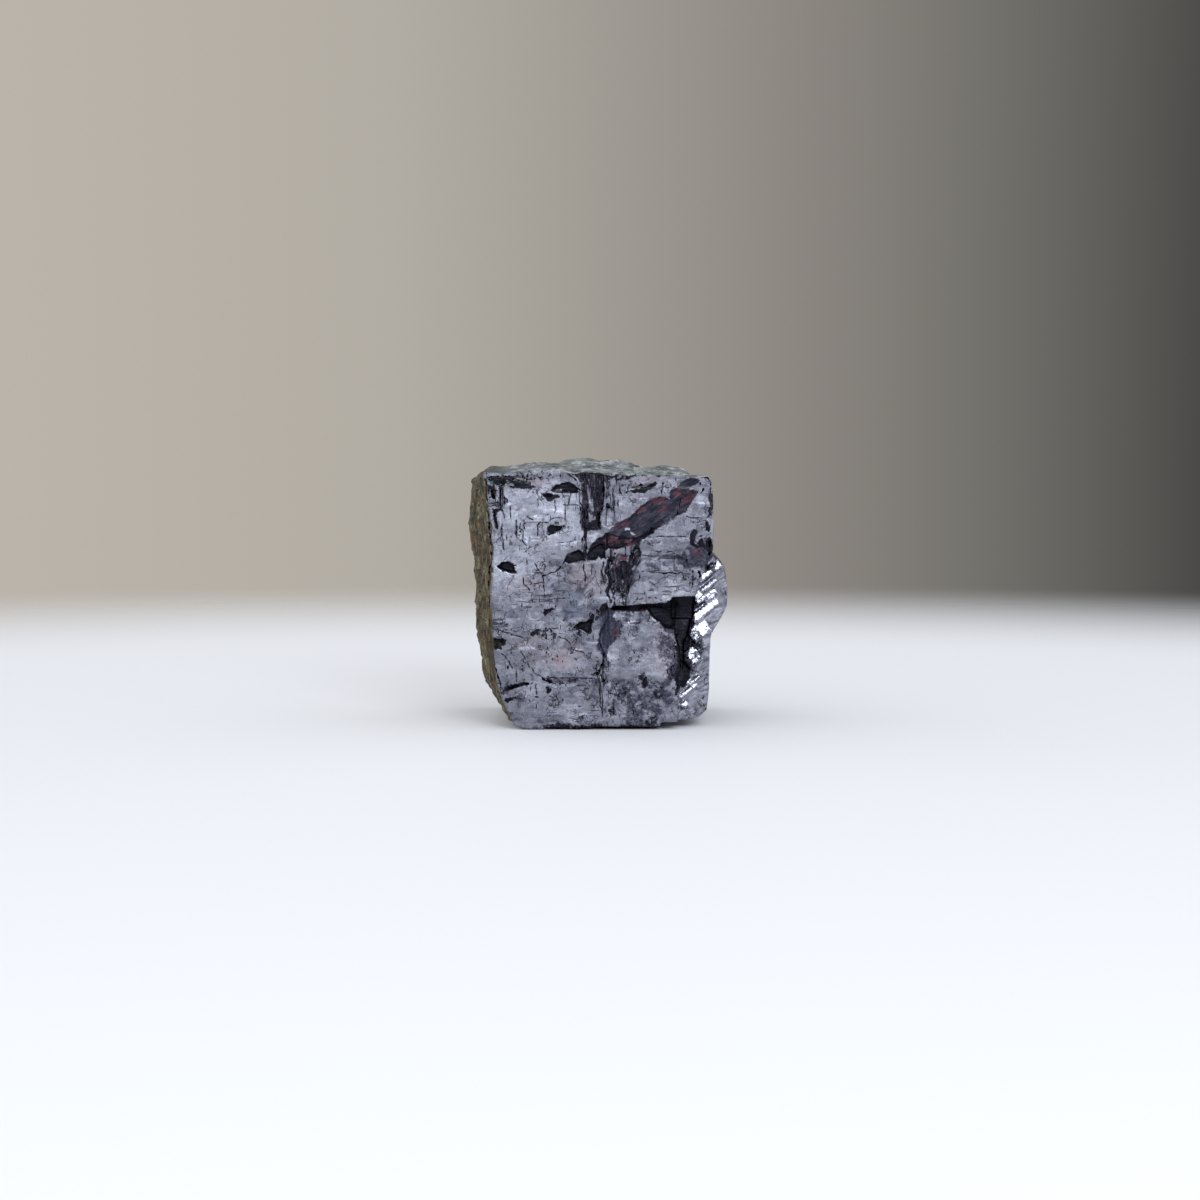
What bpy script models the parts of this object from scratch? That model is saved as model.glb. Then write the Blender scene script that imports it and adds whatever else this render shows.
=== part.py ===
"""Galena specimen: one cleaved block of lead sulphide with a weathered rind down its left side.

Galena splits along three planes at right angles, so the block is a drawn-out cube with flat
faces and square ledges. The left side and the top are the rough skin of the vein that it grew
in. The lower right corner is knocked off, which leaves a square notch, a groove and a flight of
small tilted cleavage steps. The stone grew as one piece, so it is one solid, galena_block.

Run with: blender --background --python part.py
Frame: +X right, +Y to the back, +Z up, origin under the middle of the block, on its base.
"""

import math

import bmesh
import bpy
from mathutils import Matrix, Vector, noise

MM = 0.001

# Driving dimensions, in millimetres.
WIDTH = 29.4
DEPTH = 24.0
HEIGHT = 30.0
FRONT = -DEPTH / 2
BACK = DEPTH / 2

# The block's outline seen from the front, clockwise from the top left corner, as (x, z).
OUTLINE = [
    (-12.9, 28.5), (-7.5, 28.8), (-4.2, 28.8), (-0.9, 28.5), (6.9, 28.3), (12.2, 28.1),
    (12.7, 27.3), (12.9, 23.5), (12.85, 19.3), (13.45, 18.7), (14.35, 18.0), (14.7, 15.6),
    (14.7, 13.4), (13.9, 11.9), (13.1, 10.7), (12.7, 8.6), (12.6, 3.8), (12.35, 1.8),
    (11.3, 0.9), (9.4, 0.6), (7.5, 0.25), (5.8, 0.0), (-7.9, 0.0), (-9.2, 0.5),
    (-9.8, 1.4), (-10.4, 2.7), (-11.4, 5.0), (-11.9, 10.1), (-11.9, 14.6), (-11.8, 19.0),
    (-11.9, 22.4), (-12.3, 25.7),
]
LONGEST_SIDE = 1.1  # an outline edge is divided until its pieces are shorter than this
RINGS = 22  # how many times that outline is repeated from front to back

# How far the rind stands out to the left of the front edge, as (z, stand-out).
RIND_PROFILE = [
    (0.0, 0.8), (2.0, 0.9), (5.0, 1.5), (10.0, 1.8), (15.0, 2.0), (19.0, 2.4),
    (23.0, 2.7), (26.0, 2.1), (28.5, 1.3), (31.0, 0.8),
]
RIND_REACH = 5.0  # depth behind the front edge at which the rind is at its fullest
RIND_ROUGHNESS = 0.55
TOP_ROUGHNESS = 0.38

# Lumps on the top, towards the back, as (x, y, height, radius).
TOP_LUMPS = [(-1.8, 7.8, 0.95, 2.3), (2.4, 7.2, 0.95, 2.3), (8.0, 8.4, 0.30, 2.6), (-8.5, 6.0, 0.25, 4.0)]
TOP_RISE = 0.25  # the whole top rises this much from front to back

# The corner that was knocked off, right of the groove: its outline as (x, z), and its floor, which
# goes back to the right.
BROKEN_CORNER = [
    (8.9, -1.0), (9.0, 3.9), (9.6, 5.5), (9.7, 9.6), (10.2, 10.6), (10.7, 12.7), (10.8, 14.8), (11.3, 16.6),
    (12.2, 18.9), (13.0, 20.4), (17.0, 20.4), (17.0, -1.0),
]
BROKEN_DEPTH = 2.0  # depth of that floor at its left end
BROKEN_LEFT = 9.0
BROKEN_SLOPE = 0.6

# Tilted cleavage steps on that floor, as (x, z, length, width, depth of the bright face's middle).
STEPS = [
    (13.30, 18.15, 1.5, 1.05, 3.75), (12.15, 17.15, 2.0, 0.70, 3.10), (12.65, 16.05, 2.4, 0.60, 3.35),
    (11.35, 14.80, 1.2, 1.50, 2.45), (12.70, 14.95, 2.0, 0.95, 3.40), (12.15, 13.20, 3.7, 0.95, 2.95),
    (11.45, 10.95, 2.5, 1.75, 2.50), (10.60, 8.00, 1.9, 2.00, 2.00), (10.20, 4.15, 2.7, 0.45, 2.25),
    (10.95, 5.30, 1.7, 0.40, 2.75), (9.80, 2.60, 0.9, 0.70, 2.00),
]
STEP_SLANT = math.radians(39)  # each step's long edge rises this much to the right
STEP_FACING = Vector((0.135, -0.963, 0.234)).normalized()  # where its bright face looks
STEP_BODY = 2.6  # how deep its body is

# Hollows cut straight back from the front face: outline as (x, z), then how deep the floor is at
# the outline's top and at its bottom.
FRONT_HOLLOWS = {
    # round the broken corner
    "notch": ([(8.2, 12.2), (8.2, 14.9), (10.9, 14.9), (10.7, 12.2)], 3.6, 3.6),
    "groove": (
        [(8.6, 12.6), (10.6, 12.8), (10.15, 10.4), (9.7, 9.65), (9.7, 7.0), (10.4, 6.7), (10.4, 5.7),
         (9.65, 5.1), (8.9, 4.0), (8.9, 5.9), (9.2, 6.8), (9.1, 9.0), (8.6, 10.7)],
        3.4, 2.0,
    ),
    "ledge_recess": (
        [(1.0, 13.6), (9.8, 14.4), (9.8, 3.5), (8.5, 1.5), (0.6, 1.5), (0.2, 5.2), (-0.1, 6.2), (0.6, 7.6),
         (0.7, 8.6), (0.1, 10.0), (0.4, 11.3), (1.1, 12.6)],
        0.85, 0.05,
    ),
    "undercut": (
        [(1.3, 13.3), (1.7, 13.9), (3.6, 13.9), (5.3, 14.15), (7.5, 14.1), (8.5, 14.6), (8.5, 13.7),
         (6.0, 13.6), (4.2, 13.3), (2.6, 13.4)],
        1.5, 1.0,
    ),
    "slope_under_ledge": (
        [(5.6, 13.8), (7.3, 13.7), (8.0, 13.4), (8.55, 12.5), (8.4, 11.4), (7.6, 11.5), (6.9, 12.1),
         (6.2, 12.5), (5.6, 13.4)],
        1.7, 1.1,
    ),
    # the streak and its two ends
    "streak": (
        [(1.0, 20.4), (1.0, 21.9), (2.1, 23.0), (3.7, 23.9), (4.8, 24.9), (5.7, 25.6), (6.7, 26.0),
         (8.1, 26.0), (8.3, 27.0), (9.1, 26.9), (9.5, 26.4), (10.6, 26.8), (11.2, 26.7), (10.8, 26.0),
         (10.2, 25.3), (9.9, 24.3), (9.3, 24.3), (8.3, 23.5), (7.1, 22.8), (6.2, 22.4), (5.2, 21.6),
         (4.2, 21.5), (3.8, 20.9), (2.5, 20.4)],
        0.15, 0.50,
    ),
    "streak_top": (
        [(8.7, 27.2), (9.1, 27.8), (9.8, 28.1), (11.1, 28.1), (11.2, 27.8), (11.1, 27.3), (10.3, 27.1),
         (9.4, 27.0)],
        0.12, 0.35,
    ),
    "streak_end": (
        [(-1.3, 19.5), (-0.8, 20.2), (0.25, 20.9), (0.75, 20.6), (0.8, 19.3), (0.5, 19.1), (0.2, 19.5),
         (-0.1, 19.1), (-0.8, 19.0)],
        0.45, 0.30,
    ),
    "patch_below_streak": (
        [(1.2, 18.4), (1.8, 19.1), (2.3, 19.7), (3.6, 19.5), (4.2, 20.3), (4.85, 20.3), (4.9, 19.2),
         (4.5, 18.4), (3.8, 17.2), (3.6, 15.8), (3.3, 14.5), (2.9, 14.5), (2.3, 15.7), (1.7, 15.0),
         (1.3, 16.0)],
        0.60, 0.25,
    ),
    # pits
    "pit_top": (
        [(-5.2, 26.9), (-5.0, 26.6), (-2.9, 26.5), (-2.15, 26.6), (-2.2, 27.0), (-3.2, 27.7), (-3.7, 27.6),
         (-4.9, 27.1)],
        0.75, 0.35,
    ),
    "pit_second": (
        [(-6.1, 26.4), (-5.8, 26.0), (-5.1, 26.1), (-4.5, 26.0), (-4.2, 26.2), (-4.8, 26.3), (-5.7, 26.5)],
        0.60, 0.30,
    ),
    "pit_middle": (
        [(-5.6, 22.1), (-5.4, 21.9), (-4.2, 22.3), (-3.6, 22.8), (-4.4, 22.8), (-5.3, 23.0), (-5.55, 22.6)],
        0.50, 0.30,
    ),
    "pit_left": (
        [(-11.3, 18.25), (-10.4, 18.8), (-9.9, 18.9), (-9.3, 18.4), (-9.3, 17.9), (-9.1, 17.6),
         (-10.1, 17.8)],
        0.80, 0.50,
    ),
    "pit_centre": (
        [(-3.7, 19.1), (-3.6, 18.8), (-2.4, 18.7), (-1.6, 19.0), (-1.5, 19.4), (-1.7, 19.8), (-2.15, 20.2),
         (-2.7, 19.9), (-3.3, 19.7)],
        0.50, 0.30,
    ),
    "pit_branched": (
        [(-2.65, 11.4), (-2.1, 11.9), (-1.25, 12.1), (-0.8, 12.4), (-0.8, 13.1), (-0.6, 13.1), (-0.6, 12.3),
         (-0.8, 11.2), (-1.2, 10.9), (-1.6, 11.3)],
        0.7, 0.4,
    ),
    "pit_edge": (
        [(-12.6, 10.3), (-10.1, 10.2), (-10.4, 9.75), (-10.8, 9.7), (-10.8, 9.2), (-11.4, 9.1), (-12.6, 9.3)],
        0.90, 0.60,
    ),
    "wedge_top": (
        [(2.9, 26.6), (4.7, 26.7), (5.6, 26.9), (5.95, 27.2), (6.45, 27.6), (6.4, 27.7), (5.7, 27.4),
         (4.9, 27.3), (3.7, 27.1), (3.1, 27.1)],
        0.45, 0.25,
    ),
    "slit_low": (
        [(-10.3, 4.4), (-9.9, 4.8), (-8.9, 5.1), (-7.8, 5.4), (-7.3, 5.2), (-7.9, 5.1), (-8.9, 4.8),
         (-9.8, 4.5)],
        0.80, 0.50,
    ),
    # upright fissures
    "fissure_left": ([(-1.75, 20.2), (-1.85, 24.0), (-1.65, 26.8), (-1.45, 24.2), (-1.50, 20.2)], 0.45, 0.35),
    "fissure_middle": (
        [(-1.6, 28.9), (0.6, 28.9), (0.8, 26.5), (0.6, 24.7), (0.3, 24.4), (0.25, 22.6), (0.0, 22.7),
         (-0.1, 24.4), (-0.9, 24.0), (-1.0, 25.2), (-1.4, 25.6)],
        0.35, 0.25,
    ),
    "fissure_right": ([(0.85, 22.7), (0.95, 25.4), (1.3, 25.3), (1.95, 24.2), (1.8, 22.9)], 0.30, 0.25),
    "slot_corner": ([(-11.9, 25.9), (-11.85, 27.1), (-11.5, 27.0), (-11.4, 25.9)], 0.5, 0.4),
    "slot_beside": ([(-10.9, 24.7), (-11.0, 27.3), (-10.6, 27.3), (-10.55, 24.7)], 0.5, 0.4),
    "chipped_corner": (
        [(-10.6, 27.1), (-10.6, 30.0), (-9.4, 30.0), (-8.1, 28.2), (-9.3, 27.9), (-9.2, 27.2)],
        0.50, 0.35,
    ),
}

# Square ledges that cleavage has left on the edges and the hidden sides: lowest and highest corner.
LEDGES = [
    # right rear edge, from the top down
    ((9.3, 8.7, 18.4), (17, 14, 33)), ((11.4, 5.2, 21.6), (17, 14, 33)), ((12.3, -3.4, 24.4), (17, 14, 33)),
    ((12.2, 7.9, 9.7), (17, 14, 18.4)), ((11.0, 10.2, -1), (17, 14, 9.7)), ((11.9, 3.6, -1), (17, 14, 4.4)),
    # right side
    ((14.1, -2.2, 9.0), (17, 4.6, 15.1)), ((12.55, -8.6, 20.0), (17, -5.2, 23.2)),
    ((13.7, 1.6, 15.1), (17, 14, 17.0)),
    # back face
    ((-6.2, 11.2, 6.4), (3.1, 14, 15.9)), ((-1.4, 10.5, 9.3), (3.1, 14, 15.9)),
    ((-15.5, 10.9, 17.9), (-5.3, 14, 33)), ((-15.5, 9.6, 23.7), (-8.8, 14, 33)),
    ((-5.3, 11.5, 21.9), (2.2, 14, 33)), ((3.1, 11.3, -1), (17, 14, 7.3)),
    ((-15.5, 11.4, -1), (-9.6, 14, 9.2)),
    # top, at the back and at the right end
    ((4.9, 9.9, 26.6), (9.3, 14, 33)), ((-12.9, 6.9, 28.7), (-10.2, 14, 33)),
    ((10.4, -9.2, 27.55), (17, 14, 33)),
    # underside
    ((7.0, -13, -1), (17, 14, 0.85)), ((4.4, 5.6, -1), (17, 14, 0.5)), ((-17, 7.4, -1), (-4.3, 14, 0.7)),
    ((-17, 2.1, -1), (-9.1, 14, 1.6)), ((-0.6, -13, -1), (7.4, -10.9, 0.32)),
    ((-6.1, -13, -1), (-3.2, -11.2, 0.2)),
]

GALENA_GREY = (0.34, 0.35, 0.39, 1.0)
RIND_OLIVE = (0.20, 0.18, 0.10, 1.0)


def empty_scene():
    for obj in list(bpy.data.objects):
        bpy.data.objects.remove(obj)


def material(name, colour, metallic, roughness):
    made = bpy.data.materials.new(name)
    made.use_nodes = True
    shader = made.node_tree.nodes["Principled BSDF"]
    shader.inputs["Base Color"].default_value = colour
    shader.inputs["Metallic"].default_value = metallic
    shader.inputs["Roughness"].default_value = roughness
    return made


def object_of(name, bm):
    """A new object from a bmesh in millimetres, with its faces turned outwards."""
    bmesh.ops.recalc_face_normals(bm, faces=bm.faces)
    bmesh.ops.scale(bm, vec=Vector((MM, MM, MM)), verts=bm.verts)
    mesh = bpy.data.meshes.new(name)
    bm.to_mesh(mesh)
    bm.free()
    obj = bpy.data.objects.new(name, mesh)
    bpy.context.scene.collection.objects.link(obj)
    return obj


def smoothstep(low, high, value):
    t = min(1.0, max(0.0, (value - low) / (high - low)))
    return t * t * (3 - 2 * t)


def between(table, value):
    """Linear interpolation in a table of (place, amount)."""
    for (a, first), (b, second) in zip(table, table[1:]):
        if value <= b:
            return first + (second - first) * max(0.0, (value - a) / (b - a))
    return table[-1][1]


def divided_outline():
    """The outline with its long edges divided, as (x, z, outward normal)."""
    points = []
    for (x0, z0), (x1, z1) in zip(OUTLINE, OUTLINE[1:] + OUTLINE[:1]):
        length = math.hypot(x1 - x0, z1 - z0)
        normal = (-(z1 - z0) / length, (x1 - x0) / length)
        count = math.ceil(length / LONGEST_SIDE)
        for i in range(count):
            points.append((x0 + (x1 - x0) * i / count, z0 + (z1 - z0) * i / count, normal))
    return points


def top_height(x, y):
    """What the lumps and the backward rise add to the top at (x, y)."""
    rise = TOP_RISE * smoothstep(FRONT, BACK, y)
    for lump_x, lump_y, height, radius in TOP_LUMPS:
        away = ((x - lump_x) ** 2 + (y - lump_y) ** 2) / radius**2
        rise += height * math.exp(-away)
    return rise


def block_point(x, z, normal, y):
    """The point of the outline (x, z) carried back to depth y, with the rind's and the top's roughness."""
    behind = y - FRONT
    left = smoothstep(-6.0, -10.0, x) * smoothstep(0.0, -0.5, normal[0])
    top = smoothstep(0.3, 0.8, normal[1])
    stand_out = between(RIND_PROFILE, z) * smoothstep(0.0, RIND_REACH, behind)
    stand_out *= 1 - 0.65 * smoothstep(4.0, BACK, y)
    # The rind's grooves run up and down, so its pattern changes slowly with height.
    ribs = noise.noise(Vector((x * 0.35, y * 0.95, z * 0.16)))
    grain = noise.noise(Vector((x * 0.8 + 7, y * 0.8, z * 0.7)))
    rough = (0.6 * ribs + 0.5 * grain) * smoothstep(0.0, 1.5, behind)
    x += left * (-stand_out - RIND_ROUGHNESS * rough)
    z += top * (top_height(x, y) + TOP_ROUGHNESS * rough)
    return Vector((x, y, z))


def rough_block():
    """The block before anything is broken off: rings of the outline from front to back, joined by sides."""
    stations = [FRONT + DEPTH * i / (RINGS - 1) for i in range(RINGS)]
    outline = divided_outline()
    bm = bmesh.new()
    rings = [[bm.verts.new(block_point(x, z, normal, y)) for x, z, normal in outline] for y in stations]
    for near, far in zip(rings, rings[1:]):
        for i, (_, _, normal) in enumerate(outline):
            j = (i + 1) % len(outline)
            side = bm.faces.new((near[i], near[j], far[j], far[i]))
            side.material_index = 1 if normal[0] < -0.6 or normal[1] > 0.6 else 0
    for ring, y in ((rings[0], FRONT), (rings[-1], BACK)):
        middle = bm.verts.new((0.0, y, HEIGHT / 2))
        for a, b in zip(ring, ring[1:] + ring[:1]):
            bm.faces.new((a, b, middle))
    fit_to_size(bm)
    bmesh.ops.triangulate(bm, faces=bm.faces)
    return bm


def fit_to_size(bm):
    """Scales each axis by the little that the roughness has added, so that the block has its stated size."""
    lowest = [min(v.co[axis] for v in bm.verts) for axis in range(3)]
    highest = [max(v.co[axis] for v in bm.verts) for axis in range(3)]
    wanted = [(-WIDTH / 2, WIDTH / 2), (FRONT, BACK), (0.0, HEIGHT)]
    for v in bm.verts:
        for axis, (low, high) in enumerate(wanted):
            share = (v.co[axis] - lowest[axis]) / (highest[axis] - lowest[axis])
            v.co[axis] = low + share * (high - low)


def box(low, high):
    bm = bmesh.new()
    bmesh.ops.create_cube(bm, size=1.0)
    for v in bm.verts:
        v.co = Vector(low[i] if v.co[i] < 0 else high[i] for i in range(3))
    return bm


def prism(outline, near, far_at):
    """A closed prism whose near end is flat at y = near and whose far end is at y = far_at(x, z)."""
    bm = bmesh.new()
    front = [bm.verts.new((x, near, z)) for x, z in outline]
    back = [bm.verts.new((x, far_at(x, z), z)) for x, z in outline]
    for i in range(len(outline)):
        j = (i + 1) % len(outline)
        bm.faces.new((front[i], front[j], back[j], back[i]))
    bm.faces.new(front)
    bm.faces.new(reversed(back))
    return bm


def hollow(outline, depth_at_top, depth_at_bottom):
    """A cutter that goes into the front face, with a floor that slopes from its top to its bottom."""
    heights = [z for _, z in outline]
    low, high = min(heights), max(heights)
    slope = (depth_at_top - depth_at_bottom) / (high - low)
    return prism(outline, FRONT - 1.0, lambda x, z: FRONT + depth_at_bottom + slope * (z - low))


def broken_corner():
    """A cutter for the corner that was knocked off."""
    return prism(
        BROKEN_CORNER, FRONT - 1.0, lambda x, z: FRONT + BROKEN_DEPTH + BROKEN_SLOPE * (x - BROKEN_LEFT)
    )


def cleavage_step(x, z, length, width, depth):
    """A small block of crystal turned out of line, with its front face looking along STEP_FACING."""
    bm = bmesh.new()
    bmesh.ops.create_cube(bm, size=1.0)
    bmesh.ops.scale(bm, vec=Vector((length, STEP_BODY, width)), verts=bm.verts)
    bmesh.ops.translate(bm, vec=Vector((0, STEP_BODY / 2, 0)), verts=bm.verts)
    inward = -STEP_FACING
    level = Vector((math.cos(STEP_SLANT), 0, math.sin(STEP_SLANT)))
    along = (level - inward * level.dot(inward)).normalized()
    turn = Matrix((along, inward, along.cross(inward))).transposed().to_4x4()
    bmesh.ops.transform(bm, matrix=turn, verts=bm.verts)
    bmesh.ops.translate(bm, vec=Vector((x, FRONT + depth, z)), verts=bm.verts)
    return bm


def helpers(name, shapes):
    """A collection of hidden tool shapes, for one Boolean."""
    group = bpy.data.collections.new(name)
    bpy.context.scene.collection.children.link(group)
    for number, bm in enumerate(shapes):
        tool = object_of(f"{name}_{number:02d}", bm)
        bpy.context.scene.collection.objects.unlink(tool)
        group.objects.link(tool)
        tool.hide_render = True
        tool.display_type = "WIRE"
    return group


def boolean(obj, operation, group):
    modifier = obj.modifiers.new(group.name, "BOOLEAN")
    modifier.operation = operation
    modifier.solver = "EXACT"
    modifier.operand_type = "COLLECTION"
    modifier.collection = group


def main():
    empty_scene()
    block = object_of("galena_block", rough_block())
    block.data.materials.append(material("galena", GALENA_GREY, metallic=0.9, roughness=0.35))
    block.data.materials.append(material("rind", RIND_OLIVE, metallic=0.0, roughness=0.85))
    boolean(block, "DIFFERENCE", helpers("broken_corner", [broken_corner()]))
    boolean(block, "UNION", helpers("cleavage_steps", [cleavage_step(*step) for step in STEPS]))
    hollows = [hollow(*shape) for shape in FRONT_HOLLOWS.values()]
    boolean(block, "DIFFERENCE", helpers("front_hollows", hollows))
    boolean(block, "DIFFERENCE", helpers("ledges", [box(low, high) for low, high in LEDGES]))


main()
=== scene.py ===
"""Galena specimen: the looks of one cleaved block of lead ore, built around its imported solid.

Lengths inside the sections are millimetres, and the finished mesh is scaled to metres.
Frame: +X right, +Y to the back, +Z up; the main cleavage face looks along -Y.
"""

import itertools
import math

import bmesh
import bpy
import numpy as np
from mathutils import Matrix, Vector


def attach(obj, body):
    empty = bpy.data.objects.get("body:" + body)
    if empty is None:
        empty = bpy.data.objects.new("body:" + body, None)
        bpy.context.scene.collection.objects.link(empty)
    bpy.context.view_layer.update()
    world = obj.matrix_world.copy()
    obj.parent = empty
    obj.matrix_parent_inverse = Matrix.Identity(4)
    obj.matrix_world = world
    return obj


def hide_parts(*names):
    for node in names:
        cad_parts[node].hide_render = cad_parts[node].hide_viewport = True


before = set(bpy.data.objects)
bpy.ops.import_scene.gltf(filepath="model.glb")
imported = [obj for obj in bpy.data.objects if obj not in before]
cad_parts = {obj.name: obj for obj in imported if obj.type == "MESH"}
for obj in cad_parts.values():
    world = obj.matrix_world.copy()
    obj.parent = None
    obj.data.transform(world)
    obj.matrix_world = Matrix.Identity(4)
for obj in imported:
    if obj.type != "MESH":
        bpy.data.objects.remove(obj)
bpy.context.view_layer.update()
scene = bpy.context.scene
scene.view_settings.view_transform = "Standard"

# --- Camera -----------------------------------------------------------------------------------------
# It looks almost level at the main cleavage face, from a little above the middle of the stone. The
# long lens keeps the sides of the block nearly parallel.

TILT_DOWN = 4

camera = bpy.data.objects.new("camera", bpy.data.cameras.new("camera"))
scene.collection.objects.link(camera)
camera.location = (0.00025, -0.290, 0.034)
camera.rotation_euler = (math.radians(90 - TILT_DOWN), 0, 0)
camera.data.lens = 75
camera.data.sensor_width = 36
camera.data.clip_start = 0.01
scene.camera = camera

# --- The block --------------------------------------------------------------------------------------
# One piece of galena, broken out along its three cleavage planes. Its sides are told apart by what
# they are: fresh cleavage, the weathered rind on the left, the rough top and the broken corner.

MM = 0.001
FRONT = -12.0

# Where each skin begins and where it is whole.
RIND_IN_X = (-9.2, -10.2)
RIND_AT_EDGE = (-12.5, -13.1)
TOP_IN_Z = (26.7, 27.4)
BROKEN_IN_X = (8.6, 9.4)
BROKEN_IN_Y = (-5.9, -6.4)
BROKEN_IN_Z = (20.2, 18.6)
# How far a side is turned to the left or up for its skin, and how fresh its cleavage is for steps.
TURNED = (0.25, 0.70)
STEPPED = (0.6, 0.95)
STEPS_ALL_OVER = 0.75
FEWER_IN_FRONT = 0.1


def smoothstep(low, high, value):
    t = np.clip((value - low) / (high - low), 0.0, 1.0)
    return t * t * (3 - 2 * t)


def skins(co, normal):
    """How far each point belongs to the rind, the top, the broken corner and fresh cleavage."""
    x, y, z = co.T
    behind_face = smoothstep(FRONT + 0.1, FRONT + 0.5, y)
    rind = smoothstep(*TURNED, -normal[:, 0]) * smoothstep(*RIND_IN_X, x) * behind_face
    rind = np.maximum(rind, smoothstep(*RIND_AT_EDGE, x) * behind_face)
    top = smoothstep(*TURNED, normal[:, 2]) * smoothstep(*TOP_IN_Z, z) * (1 - rind)
    broken = smoothstep(*BROKEN_IN_X, x) * smoothstep(*BROKEN_IN_Z, z) * smoothstep(*BROKEN_IN_Y, y)
    broken *= smoothstep(FRONT + 0.3, FRONT + 1.0, y)
    return rind, top, broken, (1 - rind) * (1 - top) * (1 - broken)


def paint(mesh, name, values, on="POINT"):
    """Stores one number for each vertex or face, for a material or a node tree to read."""
    attribute = mesh.attributes.new(name, "FLOAT", on)
    attribute.data.foreach_set("value", np.asarray(values, np.float32))


bm = bmesh.new()
bm.from_mesh(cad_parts["galena_block"].data)
bmesh.ops.remove_doubles(bm, verts=bm.verts, dist=1e-7)
bmesh.ops.scale(bm, vec=(1 / MM, 1 / MM, 1 / MM), verts=bm.verts)
solid = bpy.data.meshes.new("galena")
bm.to_mesh(solid)
bm.free()
block = bpy.data.objects.new("galena", solid)
scene.collection.objects.link(block)

centres = np.array([face.center for face in solid.polygons])
facing = np.array([face.normal for face in solid.polygons])
cleaved = skins(centres, facing)[3]
front_side = smoothstep(FRONT + 1.0, FRONT + 0.6, centres[:, 1])
steps = STEPS_ALL_OVER - FEWER_IN_FRONT * front_side
paint(solid, "stepped", smoothstep(*STEPPED, cleaved) * steps, "FACE")

# --- Cleavage steps ---------------------------------------------------------------------------------
# Small square notches where a layer has flaked off. They follow the cleavage planes, so they are
# blocks that lie square with the stone, cut out of its sides and edges.


class Nodes:
    """Adds nodes to a tree. Most helpers give back the new node's output, ready to be linked."""

    def __init__(self, tree, inputs=None, outputs=None):
        """Inputs are numbers, or the kinds of sockets that start empty. Outputs are kinds."""
        self.tree = tree
        if inputs:
            for label, value in inputs.items():
                kind = {float: "Float", int: "Int"}.get(type(value), value)
                socket = tree.interface.new_socket(label, in_out="INPUT", socket_type="NodeSocket" + kind)
                if value != kind:
                    socket.default_value = value
            for label, kind in outputs.items():
                tree.interface.new_socket(label, in_out="OUTPUT", socket_type="NodeSocket" + kind)
            self.given = tree.nodes.new("NodeGroupInput").outputs
            self.result = tree.nodes.new("NodeGroupOutput").inputs

    def add(self, kind, inputs=None, **settings):
        """A node. An input that is another node's output is linked, and any other is set."""
        node = self.tree.nodes.new(kind)
        for name, value in settings.items():
            setattr(node, name, value)
        for socket, value in (inputs or {}).items():
            if isinstance(value, bpy.types.NodeSocket):
                self.link(value, node.inputs[socket])
            else:
                node.inputs[socket].default_value = value
        return node

    def link(self, output, socket):
        self.tree.links.new(output, socket)

    def number(self, operation, a, b=0.0, c=0.0, clamp=False):
        node = self.add("ShaderNodeMath", {0: a, 1: b, 2: c}, operation=operation, use_clamp=clamp)
        return node.outputs[0]

    def times(self, a, b, clamp=False):
        return self.number("MULTIPLY", a, b, clamp=clamp)

    def scaled(self, value, factor, shift):
        """The value times a factor, plus a shift."""
        return self.number("MULTIPLY_ADD", value, factor, shift)

    def vector(self, operation, a, b=(0, 0, 0), c=(0, 0, 0)):
        return self.add("ShaderNodeVectorMath", {0: a, 1: b, 2: c}, operation=operation).outputs[0]

    def stretched(self, vector, factors):
        return self.vector("MULTIPLY", vector, factors)

    def along(self, x=0.0, y=0.0, z=0.0):
        """A vector from three numbers."""
        return self.add("ShaderNodeCombineXYZ", {0: x, 1: y, 2: z}).outputs[0]

    def apart(self, vector):
        """The x, y and z of a vector."""
        return self.add("ShaderNodeSeparateXYZ", {0: vector}).outputs

    def partway(self, share, first, second):
        """A share of the way from the first vector to the second."""
        inputs = {0: share, 4: first, 5: second}
        return self.add("ShaderNodeMix", inputs, data_type="VECTOR").outputs[1]

    def between(self, value, to_low, to_high, low=0.0, high=1.0):
        """The value's way from low to high, carried over to another span."""
        return self.add("ShaderNodeMapRange", {0: value, 1: low, 2: high, 3: to_low, 4: to_high}).outputs[0]


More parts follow.
